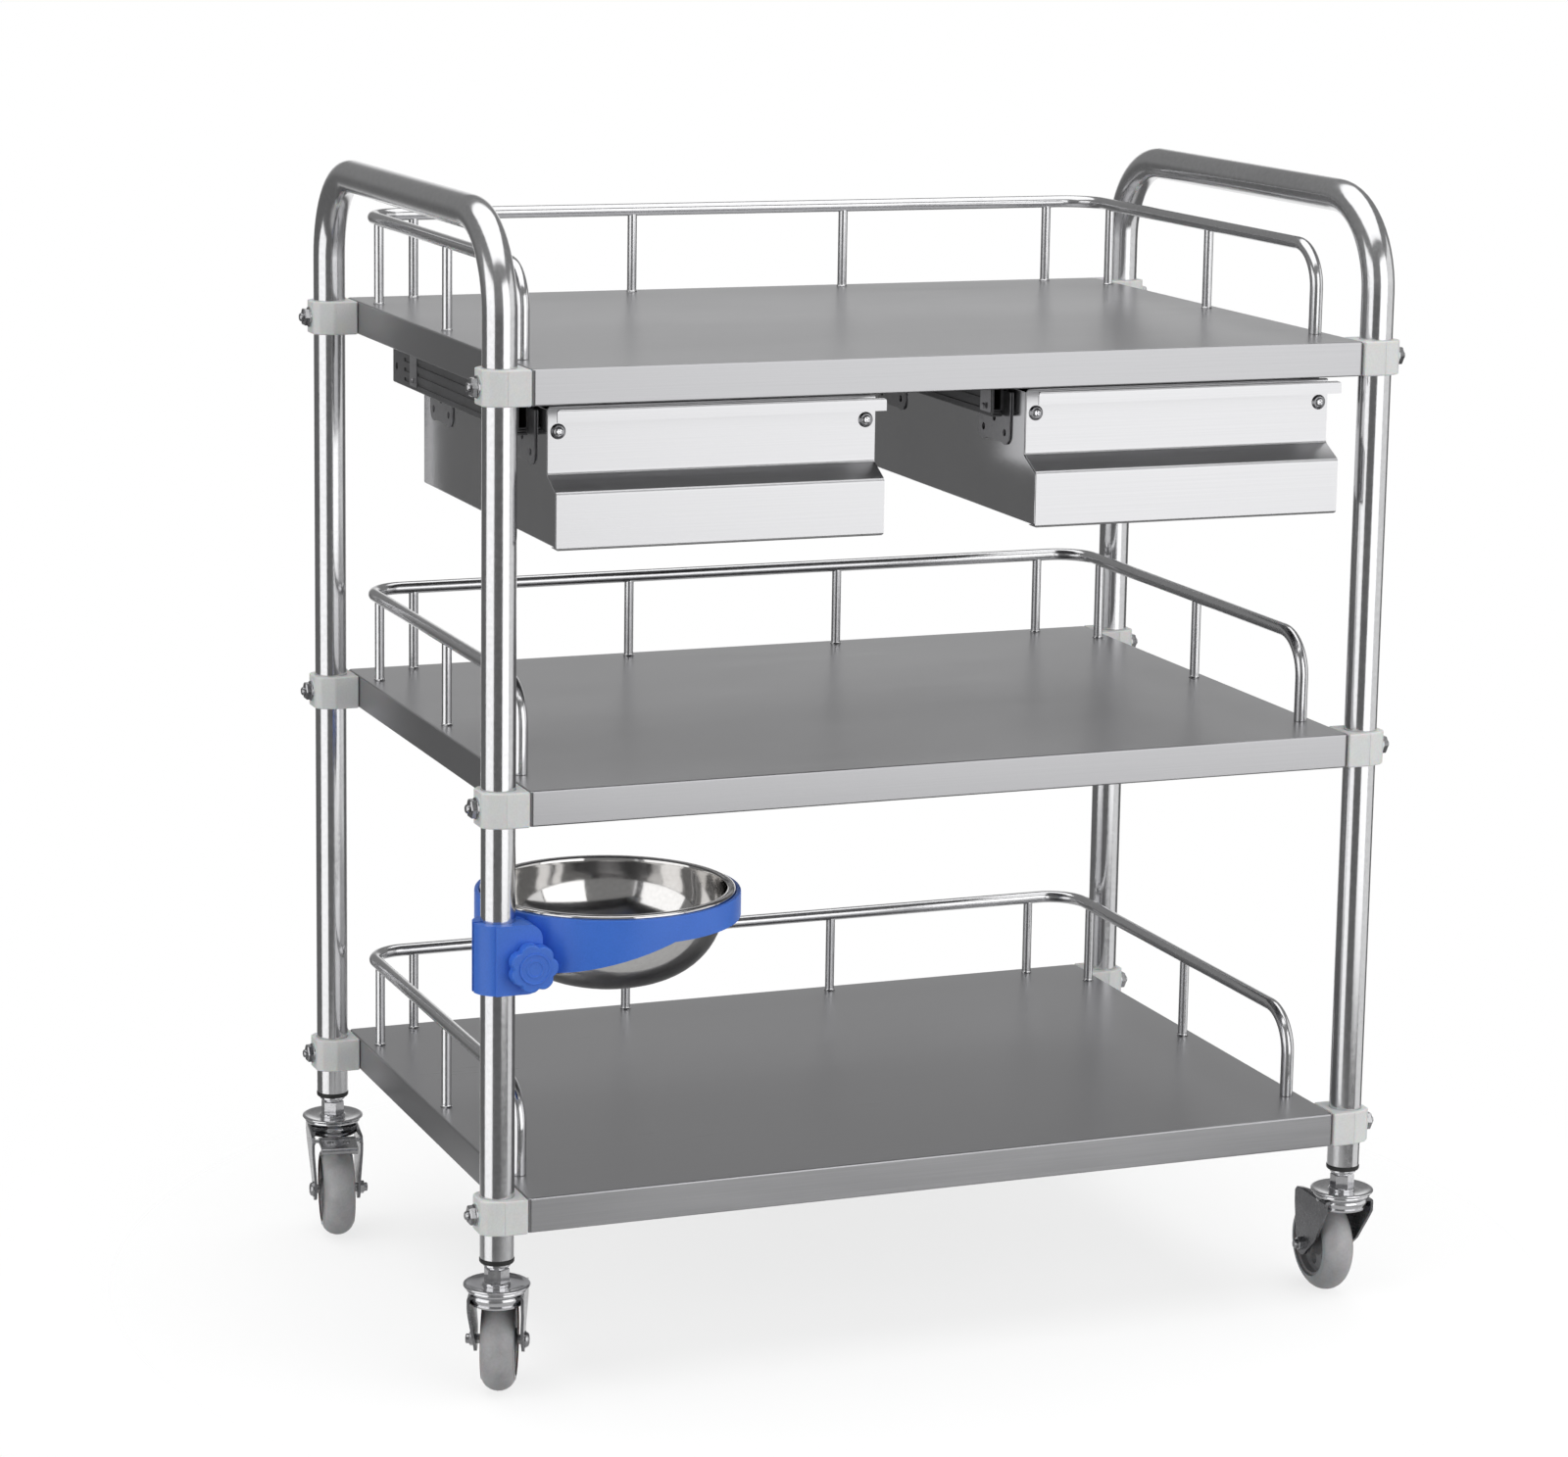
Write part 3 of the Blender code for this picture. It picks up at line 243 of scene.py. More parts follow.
# grain and clouds as (scale, detail), dark tone, light tone, roughness, bump as (strength, depth)
finishes = {
    "polishedTube": ((260, 3), (9, 2), (0.62, 0.62, 0.63), (0.72, 0.72, 0.73), (0.13, 0.21), (0.03, 0.0001)),
    "satinSheet": (((9, 900, 900), 4), ((3, 6, 6), 3), (0.40, 0.40, 0.41), (0.46, 0.46, 0.47), (0.27, 0.38),
                   (0.05, 0.00005)),
    "drawerSheet": (((7, 800, 800), 4), ((4, 9, 9), 3), (0.53, 0.53, 0.54), (0.60, 0.60, 0.61),
                    (0.26, 0.36), (0.05, 0.00005)),
    "boxSheet": (((7, 700, 700), 4), ((4, 9, 9), 3), (0.60, 0.60, 0.61), (0.68, 0.68, 0.69), (0.09, 0.17),
                 (0.04, 0.00005)),
    "brightPlate": ((420, 4), (30, 3), (0.58, 0.58, 0.60), (0.74, 0.74, 0.75), (0.08, 0.22), (0.06, 0.0001)),
    "zincSteel": ((300, 5), (40, 3), (0.34, 0.34, 0.35), (0.48, 0.48, 0.49), (0.26, 0.44), (0.10, 0.0001)),
    "slideSteel": ((300, 5), (40, 3), (0.10, 0.10, 0.10), (0.19, 0.19, 0.20), (0.32, 0.50), (0.10, 0.0001)),
    "forkSteel": ((350, 4), (35, 3), (0.17, 0.17, 0.18), (0.30, 0.30, 0.31), (0.16, 0.32), (0.08, 0.0001)),
    "boltSteel": ((400, 4), (60, 3), (0.36, 0.36, 0.37), (0.52, 0.52, 0.53), (0.14, 0.28), (0.08, 0.0001)),
    "nylon": ((700, 4), (25, 3), (0.78, 0.79, 0.78), (0.88, 0.89, 0.88), (0.34, 0.50), (0.10, 0.0001)),
    "bluePlastic": ((800, 4), (22, 3), (0.055, 0.185, 0.72), (0.072, 0.230, 0.84), (0.33, 0.47),
                    (0.12, 0.0001)),
    "greyTyre": ((500, 4), (45, 4), (0.38, 0.38, 0.39), (0.56, 0.56, 0.57), (0.30, 0.46), (0.10, 0.0002)),
    "greyHub": ((400, 4), (60, 3), (0.22, 0.22, 0.23), (0.34, 0.34, 0.35), (0.40, 0.58), (0.12, 0.0002)),
    "blackBush": ((600, 3), (50, 2), (0.012, 0.012, 0.012), (0.03, 0.03, 0.03), (0.38, 0.55),
                  (0.10, 0.0001)),
    "bowlSteel": ((300, 3), (14, 2), (0.62, 0.61, 0.60), (0.71, 0.70, 0.69), (0.06, 0.13), (0.03, 0.0001)),
}
steel = {"Metallic": 1.0}
fixed = {"zincSteel": {"Metallic": 0.9}, "slideSteel": {"Metallic": 0.6}, "blackBush": {"IOR": 1.5},
         "nylon": {"Subsurface Weight": 0.25, "Subsurface Scale": 0.004, "IOR": 1.53},
         "bluePlastic": {"Subsurface Weight": 0.08, "Subsurface Scale": 0.002, "IOR": 1.46},
         "greyTyre": {"Subsurface Weight": 0.3, "Subsurface Scale": 0.004, "IOR": 1.5},
         "greyHub": {"Subsurface Weight": 0.1, "Subsurface Scale": 0.003}}


def setInputs(node, values):
    for socket, value in values.items():
        node.inputs[socket].default_value = value
    return node


def addNode(nodes, kind, values, **settings):
    node = nodes.new("ShaderNode" + kind)
    for key, value in settings.items():
        setattr(node, key, value)
    return setInputs(node, values)


def makeFinish(name, grainLook, cloudLook, dark, light, roughness, bumps):
    finish = bpy.data.materials.new(name)
    finish.use_nodes = True
    nodes, link = finish.node_tree.nodes, finish.node_tree.links.new
    shader = setInputs(nodes["Principled BSDF"], fixed.get(name, steel))
    where = addNode(nodes, "TexCoord", {})
    noises = []
    for scale, detail in (grainLook, cloudLook):
        scales = scale if isinstance(scale, tuple) else (scale,) * 3
        stretch = addNode(nodes, "Mapping", {"Scale": scales})
        values = {"Scale": 1, "Detail": detail, "Roughness": mixing["noiseRoughness"]}
        noise = addNode(nodes, "TexNoise", values)
        link(where.outputs["Object"], stretch.inputs["Vector"])
        link(stretch.outputs["Vector"], noise.inputs["Vector"])
        noises.append(noise.outputs["Fac"])
    grain, clouds = noises
    share = mixing["tyreGrainShare" if name == "greyTyre" else "grainShare"]
    rest = addNode(nodes, "Math", {1: 1 - share}, operation='MULTIPLY')
    both = addNode(nodes, "Math", {1: share}, operation='MULTIPLY_ADD')  # fine grain and broad clouds
    link(clouds, rest.inputs[0])
    link(grain, both.inputs[0])
    link(rest.outputs[0], both.inputs[2])
    (low, high), (least, most) = mixing["roughSpan"], roughness
    rough = addNode(nodes, "MapRange", {"From Min": low, "From Max": high, "To Min": least, "To Max": most})
    link(both.outputs[0], rough.inputs["Value"])
    link(rough.outputs["Result"], shader.inputs["Roughness"])
    tone = addNode(nodes, "ValToRGB", {})
    for stop, position, colour in zip(tone.color_ramp.elements, mixing["toneSpan"], (dark, light)):
        stop.position = position
        stop.color = (*colour, 1)
    link(both.outputs[0], tone.inputs["Fac"])
    link(tone.outputs["Color"], shader.inputs["Base Color"])
    bump = addNode(nodes, "Bump", {"Strength": bumps[0], "Distance": bumps[1]})
    link(grain, bump.inputs["Height"])
    link(bump.outputs["Normal"], shader.inputs["Normal"])
    return finish


materials = {name: makeFinish(name, *look) for name, look in finishes.items()}
print("finishes mixed:", len(materials))


def fit(piece, finish, body, *nodes, angle=35):
    # paints a piece, hangs it on its body and lets it stand for its CAD nodes
    pick(piece)
    bpy.ops.object.shade_smooth_by_angle(angle=math.radians(angle))
    modify(piece, 'WEIGHTED_NORMAL', keep_sharp=True)
    piece.data.materials.clear()
    piece.data.materials.append(materials[finish])
    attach(piece, body)
    if nodes:
        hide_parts(*nodes)
    return piece


# end frames: a post, the handle and a post in one bent tube

endFrame = {"radius": 0.0125, "wall": 0.0012, "bend": 0.068, "sides": 40}


def buildEndFrames():
    for side in ("left", "right"):
        node = "end_frame_" + side
        low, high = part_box(node)
        r, bend = endFrame["radius"], endFrame["bend"]
        x, front, back = (low.x + high.x) / 2, low.y + r, high.y - r
        foot, top = low.z, high.z - r
        tube = growTube("endFrame." + side, (x, front, foot), r, [
            ("run", (0, 0, top - bend - foot)),
            ("bend", (x, front + bend, top - bend), (-1, 0, 0)),
            ("run", (0, back - front - bend * 2, 0)),
            ("bend", (x, back - bend, top - bend), (-1, 0, 0)),
            ("run", (0, 0, foot - top + bend))], endFrame["sides"])
        modify(tube, 'SOLIDIFY', thickness=endFrame["wall"], offset=-1)
        fit(tube, "polishedTube", "frame", node)
    print("end frames bent")


buildEndFrames()

# shelves: folded trays with two hat channels under each

shelf = {"sheet": 0.001, "return": 0.005, "fold": 0.0014, "corner": 0.003, "hatWidth": 0.030,
         "hatDepth": 0.0135, "hatFlange": 0.0075, "hatInset": 0.021, "hatBend": 0.0015, "hatDrop": 0.0019,
         "hatRows": (0.1212, 0.3490)}


def buildShelves():
    for level in ("bottom", "middle", "top"):
        node = "shelf_" + level
        low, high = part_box(node)
        tray = block("shelf." + level, low, high)
        edit(tray)
        choose(tray, 'FACE', lambda face: face.normal.z < -shaping["facing"])
        bpy.ops.mesh.inset(thickness=shelf["return"])
        bpy.ops.mesh.delete(type='FACE')
        choose(tray, 'EDGE', upright)
        bpy.ops.mesh.bevel(offset=shelf["corner"], segments=4)
        soften(tray, shelf["fold"], 3, 40)
        modify(tray, 'SOLIDIFY', thickness=shelf["sheet"], offset=-1, use_even_offset=True)
        wide, deep, flange = shelf["hatWidth"] / 2, shelf["hatDepth"], shelf["hatFlange"]
        line = [(-wide - flange, 0), (-wide, 0), (-wide, -deep), (wide, -deep), (wide, 0), (wide + flange, 0)]
        hats = []
        for row in shelf["hatRows"]:
            long = high.x - low.x - shelf["hatInset"] * 2
            hat = foldSheet("hat", long, line, shelf["sheet"], shelf["hatBend"])
            hats.append(place(hat, (0, low.y + row, high.z - shelf["hatDrop"])))
        fit(joined("shelf." + level, tray, *hats), "satinSheet", "frame", node, angle=30)
    print("shelves folded")


buildShelves()

# guard rails: one bent rod round three sides, on welded posts
# the post's foot adds to its radius and height; its tip has shares of its radius and of the rod's

guardRail = {"radius": 0.005, "bend": 0.032, "corner": 0.030, "sides": 24, "postMargin": 0.010,
             "backPosts": 4, "sidePosts": 2, "postRadius": 0.0038,
             "postFoot": ((0.0008, 0), (0.0003, 0.0005), (0, 0.0014)), "postTip": ((1, 0.9), (0.9, 0.4))}


def buildGuardRails():
    for level in ("bottom", "middle", "top"):
        node = "guard_rail_" + level
        low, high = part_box(node)
        r, bend, corner = guardRail["radius"], guardRail["bend"], guardRail["corner"]
        left, right, front, back = low.x + r, high.x - r, low.y + r, high.y - r
        foot, top = low.z, high.z - r
        rail = growTube("rail", (left, front, foot), r, [
            ("run", (0, 0, top - bend - foot)),
            ("bend", (left, front + bend, top - bend), (-1, 0, 0)),
            ("run", (0, back - front - bend - corner, 0)),
            ("bend", (left + corner, back - corner, top), (0, 0, -1)),
            ("run", (right - left - corner * 2, 0, 0)),
            ("bend", (right - corner, back - corner, top), (0, 0, -1)),
            ("run", (0, front - back + bend + corner, 0)),
            ("bend", (right, front + bend, top - bend), (1, 0, 0)),
            ("run", (0, 0, foot - top + bend))], guardRail["sides"])
        edit(rail)
        choose(rail, 'EDGE', lambda edge: edge.is_boundary)
        bpy.ops.mesh.fill()
        objectMode()
        inner, sidePosts = corner + guardRail["postMargin"], range(guardRail["sidePosts"])
        backStep = (right - left - inner * 2) / (guardRail["backPosts"] - 1)
        sideStep = (back - inner - front) / guardRail["sidePosts"]
        spots = [(left + inner + backStep * i, back) for i in range(guardRail["backPosts"])]
        spots += [(x, back - inner - sideStep * i) for x in (left, right) for i in sidePosts]
        thick = guardRail["postRadius"]
        rings = [(thick + wider, foot + up) for wider, up in guardRail["postFoot"]]
        rings += [(thick * share, top - r * deep) for share, deep in guardRail["postTip"]]
        post = stackRings("post", rings, sides=20)
        posts = [copyOf(post, "post", (x, y, 0)) for x, y in spots]
        drop(post)
        fit(joined("guardRail." + level, rail, *posts), "polishedTube", "frame", node)
    print("guard rails welded")


buildGuardRails()

# corner clamps: a nylon saddle between post and shelf, with a bolt through it
# turned forms are rows of (radius, height)

clamp = {"half": 0.0173, "height": 0.026, "flat": 0.0157, "seat": 0.0182, "bore": 0.01272, "soft": 0.0012,
         "plan": ((-0.0182, 0.0173), (0.0010, 0.0173), (0.0116, 0.0132), (0.0157, 0.0088)),
         "groove": (-0.0009, -0.0004), "grooveDeep": 0.0003, "toolReach": 0.03, "toolPast": 0.001,
         "pad": ((0.0088, 0), (0.0088, 0.00036), (0.0082, 0.0006)), "padHeight": 0.0006, "sunk": 0.0001,
         "washer": ((0.0080, 0), (0.0080, 0.0010), (0.0077, 0.0013)),
         "boltHead": ((0.0074, 0.0012), (0.0074, 0.004698), (0.006512, 0.005508), (0.004588, 0.005508),
                      (0.003404, 0.005022)),
         "boltTip": ((0.003256, 0.001), (0.003256, 0.007452), (0.002516, 0.0081)),
         "nut": ((0.006624, 0), (0.0072, 0.0005), (0.0072, 0.0050), (0.006624, 0.0055)), "nutAway": 0.0017,
         "boltTail": ((0.0039, 0), (0.0039, 0.0080), (0.0033, 0.0085))}


def saddleShape():
    tall, past, reach = clamp["height"], clamp["toolPast"], clamp["toolReach"]
    saddle = place(flatOutline("saddle", mirrored(clamp["plan"]), tall), (0, 0, -tall))
    soften(saddle, clamp["soft"], 3, 20)
    cut(saddle, cylinder("bore", clamp["bore"], -tall - past * 2, past * 2, 64))
    near, far = clamp["groove"]
    groove = block("groove", (near, -reach, -tall - past), (far, reach, past))  # parting line
    for side in (-1, 1):
        away = side * (clamp["half"] + reach - clamp["grooveDeep"])
        cut(saddle, copyOf(groove, "line", (0, away, 0)))
    drop(groove)
    pad = stackRings("pad", clamp["pad"], sides=40)
    place(pad, (clamp["flat"] - clamp["sunk"], 0, -tall / 2), (0, 90, 0))
    return joined("saddle", saddle, pad)


def boltShape():
    middle, start = -clamp["height"] / 2, clamp["flat"] + clamp["padHeight"] - clamp["sunk"]
    washer = stackRings("washer", clamp["washer"], sides=36)
    head = stackRings("head", clamp["boltHead"], sides=6)
    tip = stackRings("tip", clamp["boltTip"], sides=24)
    outside = place(joined("outside", washer, head, tip), (start, 0, middle), (0, 90, 0))
    nut = stackRings("nut", clamp["nut"], sides=6)
    tail = stackRings("tail", clamp["boltTail"], sides=20)
    inside = place(joined("inside", nut, tail), (-clamp["seat"] - clamp["nutAway"], 0, middle), (0, -90, 0))
    return joined("bolt", outside, inside)


def buildClamps():
    saddle, bolt = saddleShape(), boltShape()
    for level in ("bottom", "middle", "top"):
        for corner in ("front_left", "front_right", "rear_left", "rear_right"):
            node = "clamp_" + level + "_" + corner
            low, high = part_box(node)
            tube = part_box("end_frame_left" if "left" in corner else "end_frame_right")
            spot = ((tube[0].x + tube[1].x) / 2, (low.y + high.y) / 2, high.z)
            turn = (0, 0, 180 if "left" in corner else 0)
            label = level + "." + corner
            fit(copyOf(saddle, "clamp." + label, spot, turn), "nylon", "frame", node, angle=40)
            fit(copyOf(bolt, "clampBolt." + label, spot, turn), "boltSteel", "frame")
    drop(saddle, bolt)
    print("clamps bolted")


buildClamps()

# drawers: an open box, a front folded round it with a step and a lip, two screws each

drawer = {"sheet": 0.0012, "lower": 0.041, "rise": 0.0105, "step": 0.020, "lip": 0.009, "return": 0.012,
          "fold": 0.0022, "corner": 0.0022, "topGap": 0.003, "keepDeep": 0.1, "keepBack": 0.06,
          "tuck": 0.0004, "boxFold": 0.0016, "screwLead": 0.0075, "screwDrop": 0.018,
          "washer": ((0.0056, 0), (0.0056, 0.0003), (0.004368, 0.0017), (0.003472, 0.0019),
                     (0.00324, 0.0012)),
          "screw": ((0.0036, 0.0010), (0.0036, 0.0016), (0.002952, 0.0023), (0.00162, 0.0027)),
          "slot": ((-0.0019, -0.00045, 0.0019), (0.0019, 0.00045, 0.004))}


def buildDrawers():
    sheet, step, rise, tuck = drawer["sheet"], drawer["step"], drawer["rise"], drawer["tuck"]
    front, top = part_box("shelf_top")[0].y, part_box("shelf_top")[0].z - drawer["topGap"]
    for side in ("left", "right"):
        body = "drawer_" + side
        low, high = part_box(body + "_front")
        middle, wide = (low.x + high.x) / 2, high.x - low.x
        bottom, ledge = low.z, low.z + drawer["lower"]
        line = [(drawer["return"], bottom), (0, bottom), (0, ledge), (step, ledge + rise), (step, top),
                (0, top), (0, top - drawer["lip"])]
        panel = foldSheet("drawerFront." + side, wide, line, -sheet, drawer["fold"], 4)
        place(panel, (middle, front, 0))
        corners = [(-wide / 2, bottom), (wide / 2, bottom), (wide / 2, top), (-wide / 2, top)]
        keep = flatOutline("keep", corners, drawer["keepDeep"], drawer["corner"])
        cut(panel, place(keep, (middle, front + drawer["keepBack"], 0), (90, 0, 0)), 'INTERSECT')
        washer = stackRings("washer", drawer["washer"], sides=32)
        screw = stackRings("screw", drawer["screw"], sides=28)
        for turn in (0, 90):
            cut(screw, place(block("slot", *drawer["slot"]), turn=(0, 0, turn)))
        washers, screws = [], []
        for hand in (-1, 1):
            x = middle + hand * (wide / 2 - drawer["screwLead"])
            seat = (x, front + step, top - drawer["screwDrop"])
            washers.append(copyOf(washer, "washer", seat, (90, 0, 0)))
            screws.append(copyOf(screw, "screw", seat, (90, 0, 0)))
        drop(washer, screw)
        fit(joined("drawerWashers." + side, *washers), "forkSteel", body)
        fit(joined("drawerScrews." + side, *screws), "brightPlate", body)
        fit(panel, "drawerSheet", body, body + "_front", angle=30)
        boxLow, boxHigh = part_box(body + "_box")
        skin, rear = boxLow.y - front, boxHigh.y - front
        corners = [(skin, boxLow.z), (skin, ledge - tuck), (step + skin, ledge + rise - tuck),
                   (step + skin, boxHigh.z), (rear, boxHigh.z), (rear, boxLow.z)]
        tray = place(flatOutline("drawerBox." + side, corners, wide), (boxLow.x, front, 0), onEdge)
        edit(tray)
        choose(tray, 'FACE', lambda face: face.normal.z > shaping["facing"]
               and face.calc_center_median().z > boxHigh.z - sheet)
        bpy.ops.mesh.delete(type='FACE')
        soften(tray, drawer["boxFold"], 3, 20)
        modify(tray, 'SOLIDIFY', thickness=sheet, offset=-1, use_even_offset=True)
        fit(tray, "boxSheet", body, body + "_box", angle=30)
    print("drawers folded")


buildDrawers()

# slides: three nested channels each side, hung from the shelf, lobed plates on the inner one
# outer backs and lips and inner webs count from the drawer's middle, inner lips from the web

slide = {"sheet": 0.0013, "bend": 0.0011, "setBack": 0.034, "outerBack": 0.13625, "outerLip": 0.12745,
         "outerTop": 0.730, "innerWeb": 0.12575, "innerLip": 0.0071, "innerFoot": 0.7064,
         "groove": 0.0009, "grooveHigh": 0.0027, "grooves": (0.7090, 0.7165, 0.7240),
         "grooveLead": 0.018, "grooveTail": 0.030, "toolPast": 0.001,
         "endHole": 0.0028, "endHoleLead": 0.0095, "endHoleReach": 0.003,
         "hangers": (0.0442, 0.2850), "hangerWidth": 0.018, "hangerLeg": 0.013, "hangerFoot": 0.7060,
         "hangerBend": 0.0018, "hangerAway": 0.0006, "hangerDrop": 0.0013,
         "rivet": ((0.0024, 0), (0.00216, 0.0006), (0.0012, 0.0010)), "rivetAway": 0.0011, "rivetUp": 0.0042,
         "plates": (0.020, 0.217), "plate": 0.0012, "plateLength": 0.056, "plateHeight": 0.040,
         "plateTop": 0.722, "plateSoft": 0.00025, "lobe": 0.009, "hole": 0.0026}


def channelAlong(name, web, lip, start, stop, foot, top):
    # a C channel along Y with its back at one X, open at the other
    line = [(lip, foot), (web, foot), (web, top), (lip, top)]
    thick = math.copysign(slide["sheet"], web - lip)
    channel = foldSheet(name, stop - start, line, thick, slide["bend"])
    return place(channel, (0, (start + stop) / 2, 0), (0, 0, -90))


def lobedPlate():
    wide, lobe, past = slide["plateLength"] / 2, slide["lobe"], slide["toolPast"]
    low = lobe - slide["plateHeight"]
    corners = [(wide, 0), (-wide, 0)]
    corners += arc((lobe - wide, low), lobe, 180, 300, 8) + arc((wide - lobe, low), lobe, 240, 360, 8)
    plate = flatOutline("plate", corners, slide["plate"])
    for x, y in ((lobe - wide, low), (wide - lobe, low), (0, low + lobe)):
        hole = cylinder("hole", slide["hole"], -past, slide["plate"] + past, 24)
        cut(plate, place(hole, (x, y, 0)))
    return soften(plate, slide["plateSoft"], 2, 50)


def outerSlide(name, outer, back, lip, outward):
    # the channel that hangs from the shelf, with its long grooves and the hole near its rear end
    start, stop = outer[0].y + slide["setBack"], outer[1].y
    rail = channelAlong(name, back, lip, start, stop, outer[0].z, slide["outerTop"])
    near, far = sorted((back - outward * slide["groove"], back + outward * slide["toolPast"]))
    first, last, half = start + slide["grooveLead"], stop - slide["grooveTail"], slide["grooveHigh"] / 2
    for level in slide["grooves"]:
        cut(rail, block("groove", (near, first, level - half), (far, last, level + half)))
    hole = cylinder("hole", slide["endHole"], -slide["endHoleReach"], slide["endHoleReach"], 28)
    return cut(rail, place(hole, (back, stop - slide["endHoleLead"], slide["grooves"][1]), (0, 90, 0)))


def hangersFor(name, outer, back, under, outward):
    out, foot = back + outward * slide["hangerAway"], slide["hangerFoot"]
    line = [(out - outward * slide["hangerLeg"], under), (out, under), (out, foot)]
    legs = []
    for lead in slide["hangers"]:
        y = outer[0].y + lead
        leg = foldSheet("leg", slide["hangerWidth"], line, -outward * slide["plate"], slide["hangerBend"])
        legs.append(place(leg, (0, y, 0), (0, 0, -90)))
        rivet = stackRings("rivet", slide["rivet"], sides=24)
        seat = (out + outward * slide["rivetAway"], y, foot + slide["rivetUp"])
        legs.append(place(rivet, seat, (0, 90 * outward, 0)))
    return joined(name, *legs)


def buildSlides():
    plate = lobedPlate()
    under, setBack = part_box("shelf_top")[1].z - slide["hangerDrop"], slide["setBack"]
    for side in ("left", "right"):
        body = "drawer_" + side
        middle = sum(corner.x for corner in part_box(body + "_box")) / 2
        for hand, outward in (("left", -1), ("right", 1)):
            label, node = side + "." + hand, body + "_slide_%s_" + hand
            outer, centre, inner = (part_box(node % member) for member in ("outer", "middle", "inner"))
            back, lip, web = (middle + outward * slide[key] for key in ("outerBack", "outerLip", "innerWeb"))
            rail = outerSlide("slideOuter." + label, outer, back, lip, outward)
            legs = hangersFor("slideHangers." + label, outer, back, under, outward)
            fit(legs, "zincSteel", "frame")
            fit(rail, "slideSteel", "frame", node % "outer")
            near, far = (centre[0], centre[1]) if outward > 0 else (centre[1], centre[0])
            run = channelAlong("slideMiddle." + label, far.x, near.x, centre[0].y + setBack, centre[1].y,
                               centre[0].z, centre[1].z)
            fit(run, "slideSteel", body + "_runner", node % "middle")
            carrier = channelAlong("slideInner." + label, web, web + outward * slide["innerLip"],
                                   inner[0].y + setBack, inner[1].y, slide["innerFoot"], inner[1].z)
            fit(carrier, "slideSteel", body, node % "inner")
            face, half = web - (slide["plate"] if outward > 0 else 0), slide["plateLength"] / 2
            spots = [(face, inner[0].y + lead + half, slide["plateTop"]) for lead in slide["plates"]]
            plates = [copyOf(plate, "plate", spot, onEdge) for spot in spots]
            fit(joined("slidePlates." + label, *plates), "zincSteel", body)
    drop(plate)
    print("slides nested")


buildSlides()

# castors: fixed head, swinging fork, wheel, and a pedal on the rear pair

castor = {"headings": {"front_left": 68, "front_right": 87, "rear_left": 260, "rear_right": 248},
          "trail": 0.030, "wheel": 0.0375, "width": 0.0252, "crown": 0.0112, "inner": 0.0265, "sides": 56,
          "tyreEdge": ((0.0030, 0.985), (0.0012, 0.90), (0, 0.88)),
          "hub": ((0.0040, 0.0131), (0.0079, 0.0131), (0.0085, 0.0125), (0.0090, 0.0065), (0.0105, 0.0045),
                  (0.0219, 0.0045), (0.0233, 0.0059), (0.0235, 0.010536), (0.0239, 0.010836),
                  (0.0260, 0.010836), (0.0263, 0.010536)),
          "windows": 5, "window": 0.0045, "windowRow": 0.016, "toolReach": 0.02,
          "forkHalf": ((0.0186, 0.0265), (0.0186, 0.0435), (0.0206, 0.0700), (0.0206, 0.0852)),
          "forkSide": ((0.0405, 0.0465), (0.0405, 0.0790), (0.0370, 0.0826), (0.0200, 0.0852),
                       (-0.0145, 0.0852), (-0.0145, 0.0752), (0.006, 0.0465)),
          "eye": 0.009, "forkSheet": 0.0022, "forkBend": 0.0030, "forkSoft": 0.0004, "forkLong": 0.07,
          "forkMiddle": 0.0125, "forkTool": 0.06, "mouth": ((0.0195, -0.0170, 0.0780), (0.06, 0.0170, 0.09)),
          "drum": ((0.0140, 0.0757), (0.0180, 0.0758), (0.0190, 0.0763), (0.0194, 0.0772), (0.0193, 0.0780),
                   (0.0187, 0.0785), (0.0192, 0.0790), (0.0201, 0.0800), (0.0206, 0.0813), (0.0207, 0.0828),
                   (0.0203, 0.0842), (0.0194, 0.0850), (0.0150, 0.0851)),
          "axle": 0.0036,
          "axleHead": ((0.0062, -0.0001), (0.0062, 0.0009), (0.0056, 0.0010), (0.0054, 0.0018),
                       (0.004644, 0.002808), (0.00297, 0.00342), (0.00108, 0.0036)),
          "axleNut": ((0.0054, -0.0001), (0.0054, 0.00306), (0.004752, 0.0036)),
          "axleTail": ((0.0036, 0), (0.0036, 0.0058), (0.00288, 0.0064)),
          "cup": ((0.0150, 0.0854), (0.0205, 0.0855), (0.0217, 0.0859), (0.0222, 0.0868), (0.0222, 0.0877),
                  (0.0217, 0.0886), (0.0206, 0.0890), (0.0210, 0.0893), (0.0234, 0.0894), (0.0243, 0.0897),
                  (0.0245, 0.0903), (0.0243, 0.0909), (0.0236, 0.0913), (0.0222, 0.0914), (0.0196, 0.0908),
                  (0.0160, 0.0903), (0.0112, 0.0901), (0.0102, 0.0904), (0.0101, 0.0917), (0.0094, 0.0922)),
          "headNut": ((0.0086, 0.0918), (0.0093, 0.0926), (0.0093, 0.1022), (0.0086, 0.1030)),
          "collar": ((0.0072, 0.1020), (0.0072, 0.1042), (0.0096, 0.1046), (0.0101, 0.1052),
                     (0.0101, 0.1078), (0.0096, 0.1086)),
          "stem": ((0.0060, 0.1085), (0.0060, 0.1365), (0.0055, 0.1370)),
          "bush": ((0.0110, 0.1070), (0.0122, 0.1073), (0.0127, 0.1080), (0.0128, 0.1090), (0.0128, 0.1104),
                   (0.0125, 0.1107), (0.0110, 0.1107), (0.0110, 0.1267))}


def tyreShape():
    half, inner, rings = castor["width"] / 2, castor["inner"], []
    for angle in range(-90, 91, 15):
        swing = math.radians(angle)
        sunk = castor["crown"] * (1 - abs(math.cos(swing)))
        rings.append((castor["wheel"] - sunk, math.sin(swing) * half))
    rings += mirrored([(inner + wider, half * share) for wider, share in castor["tyreEdge"]])
    return stackRings("tyre", rings, castor["sides"], closed=True)


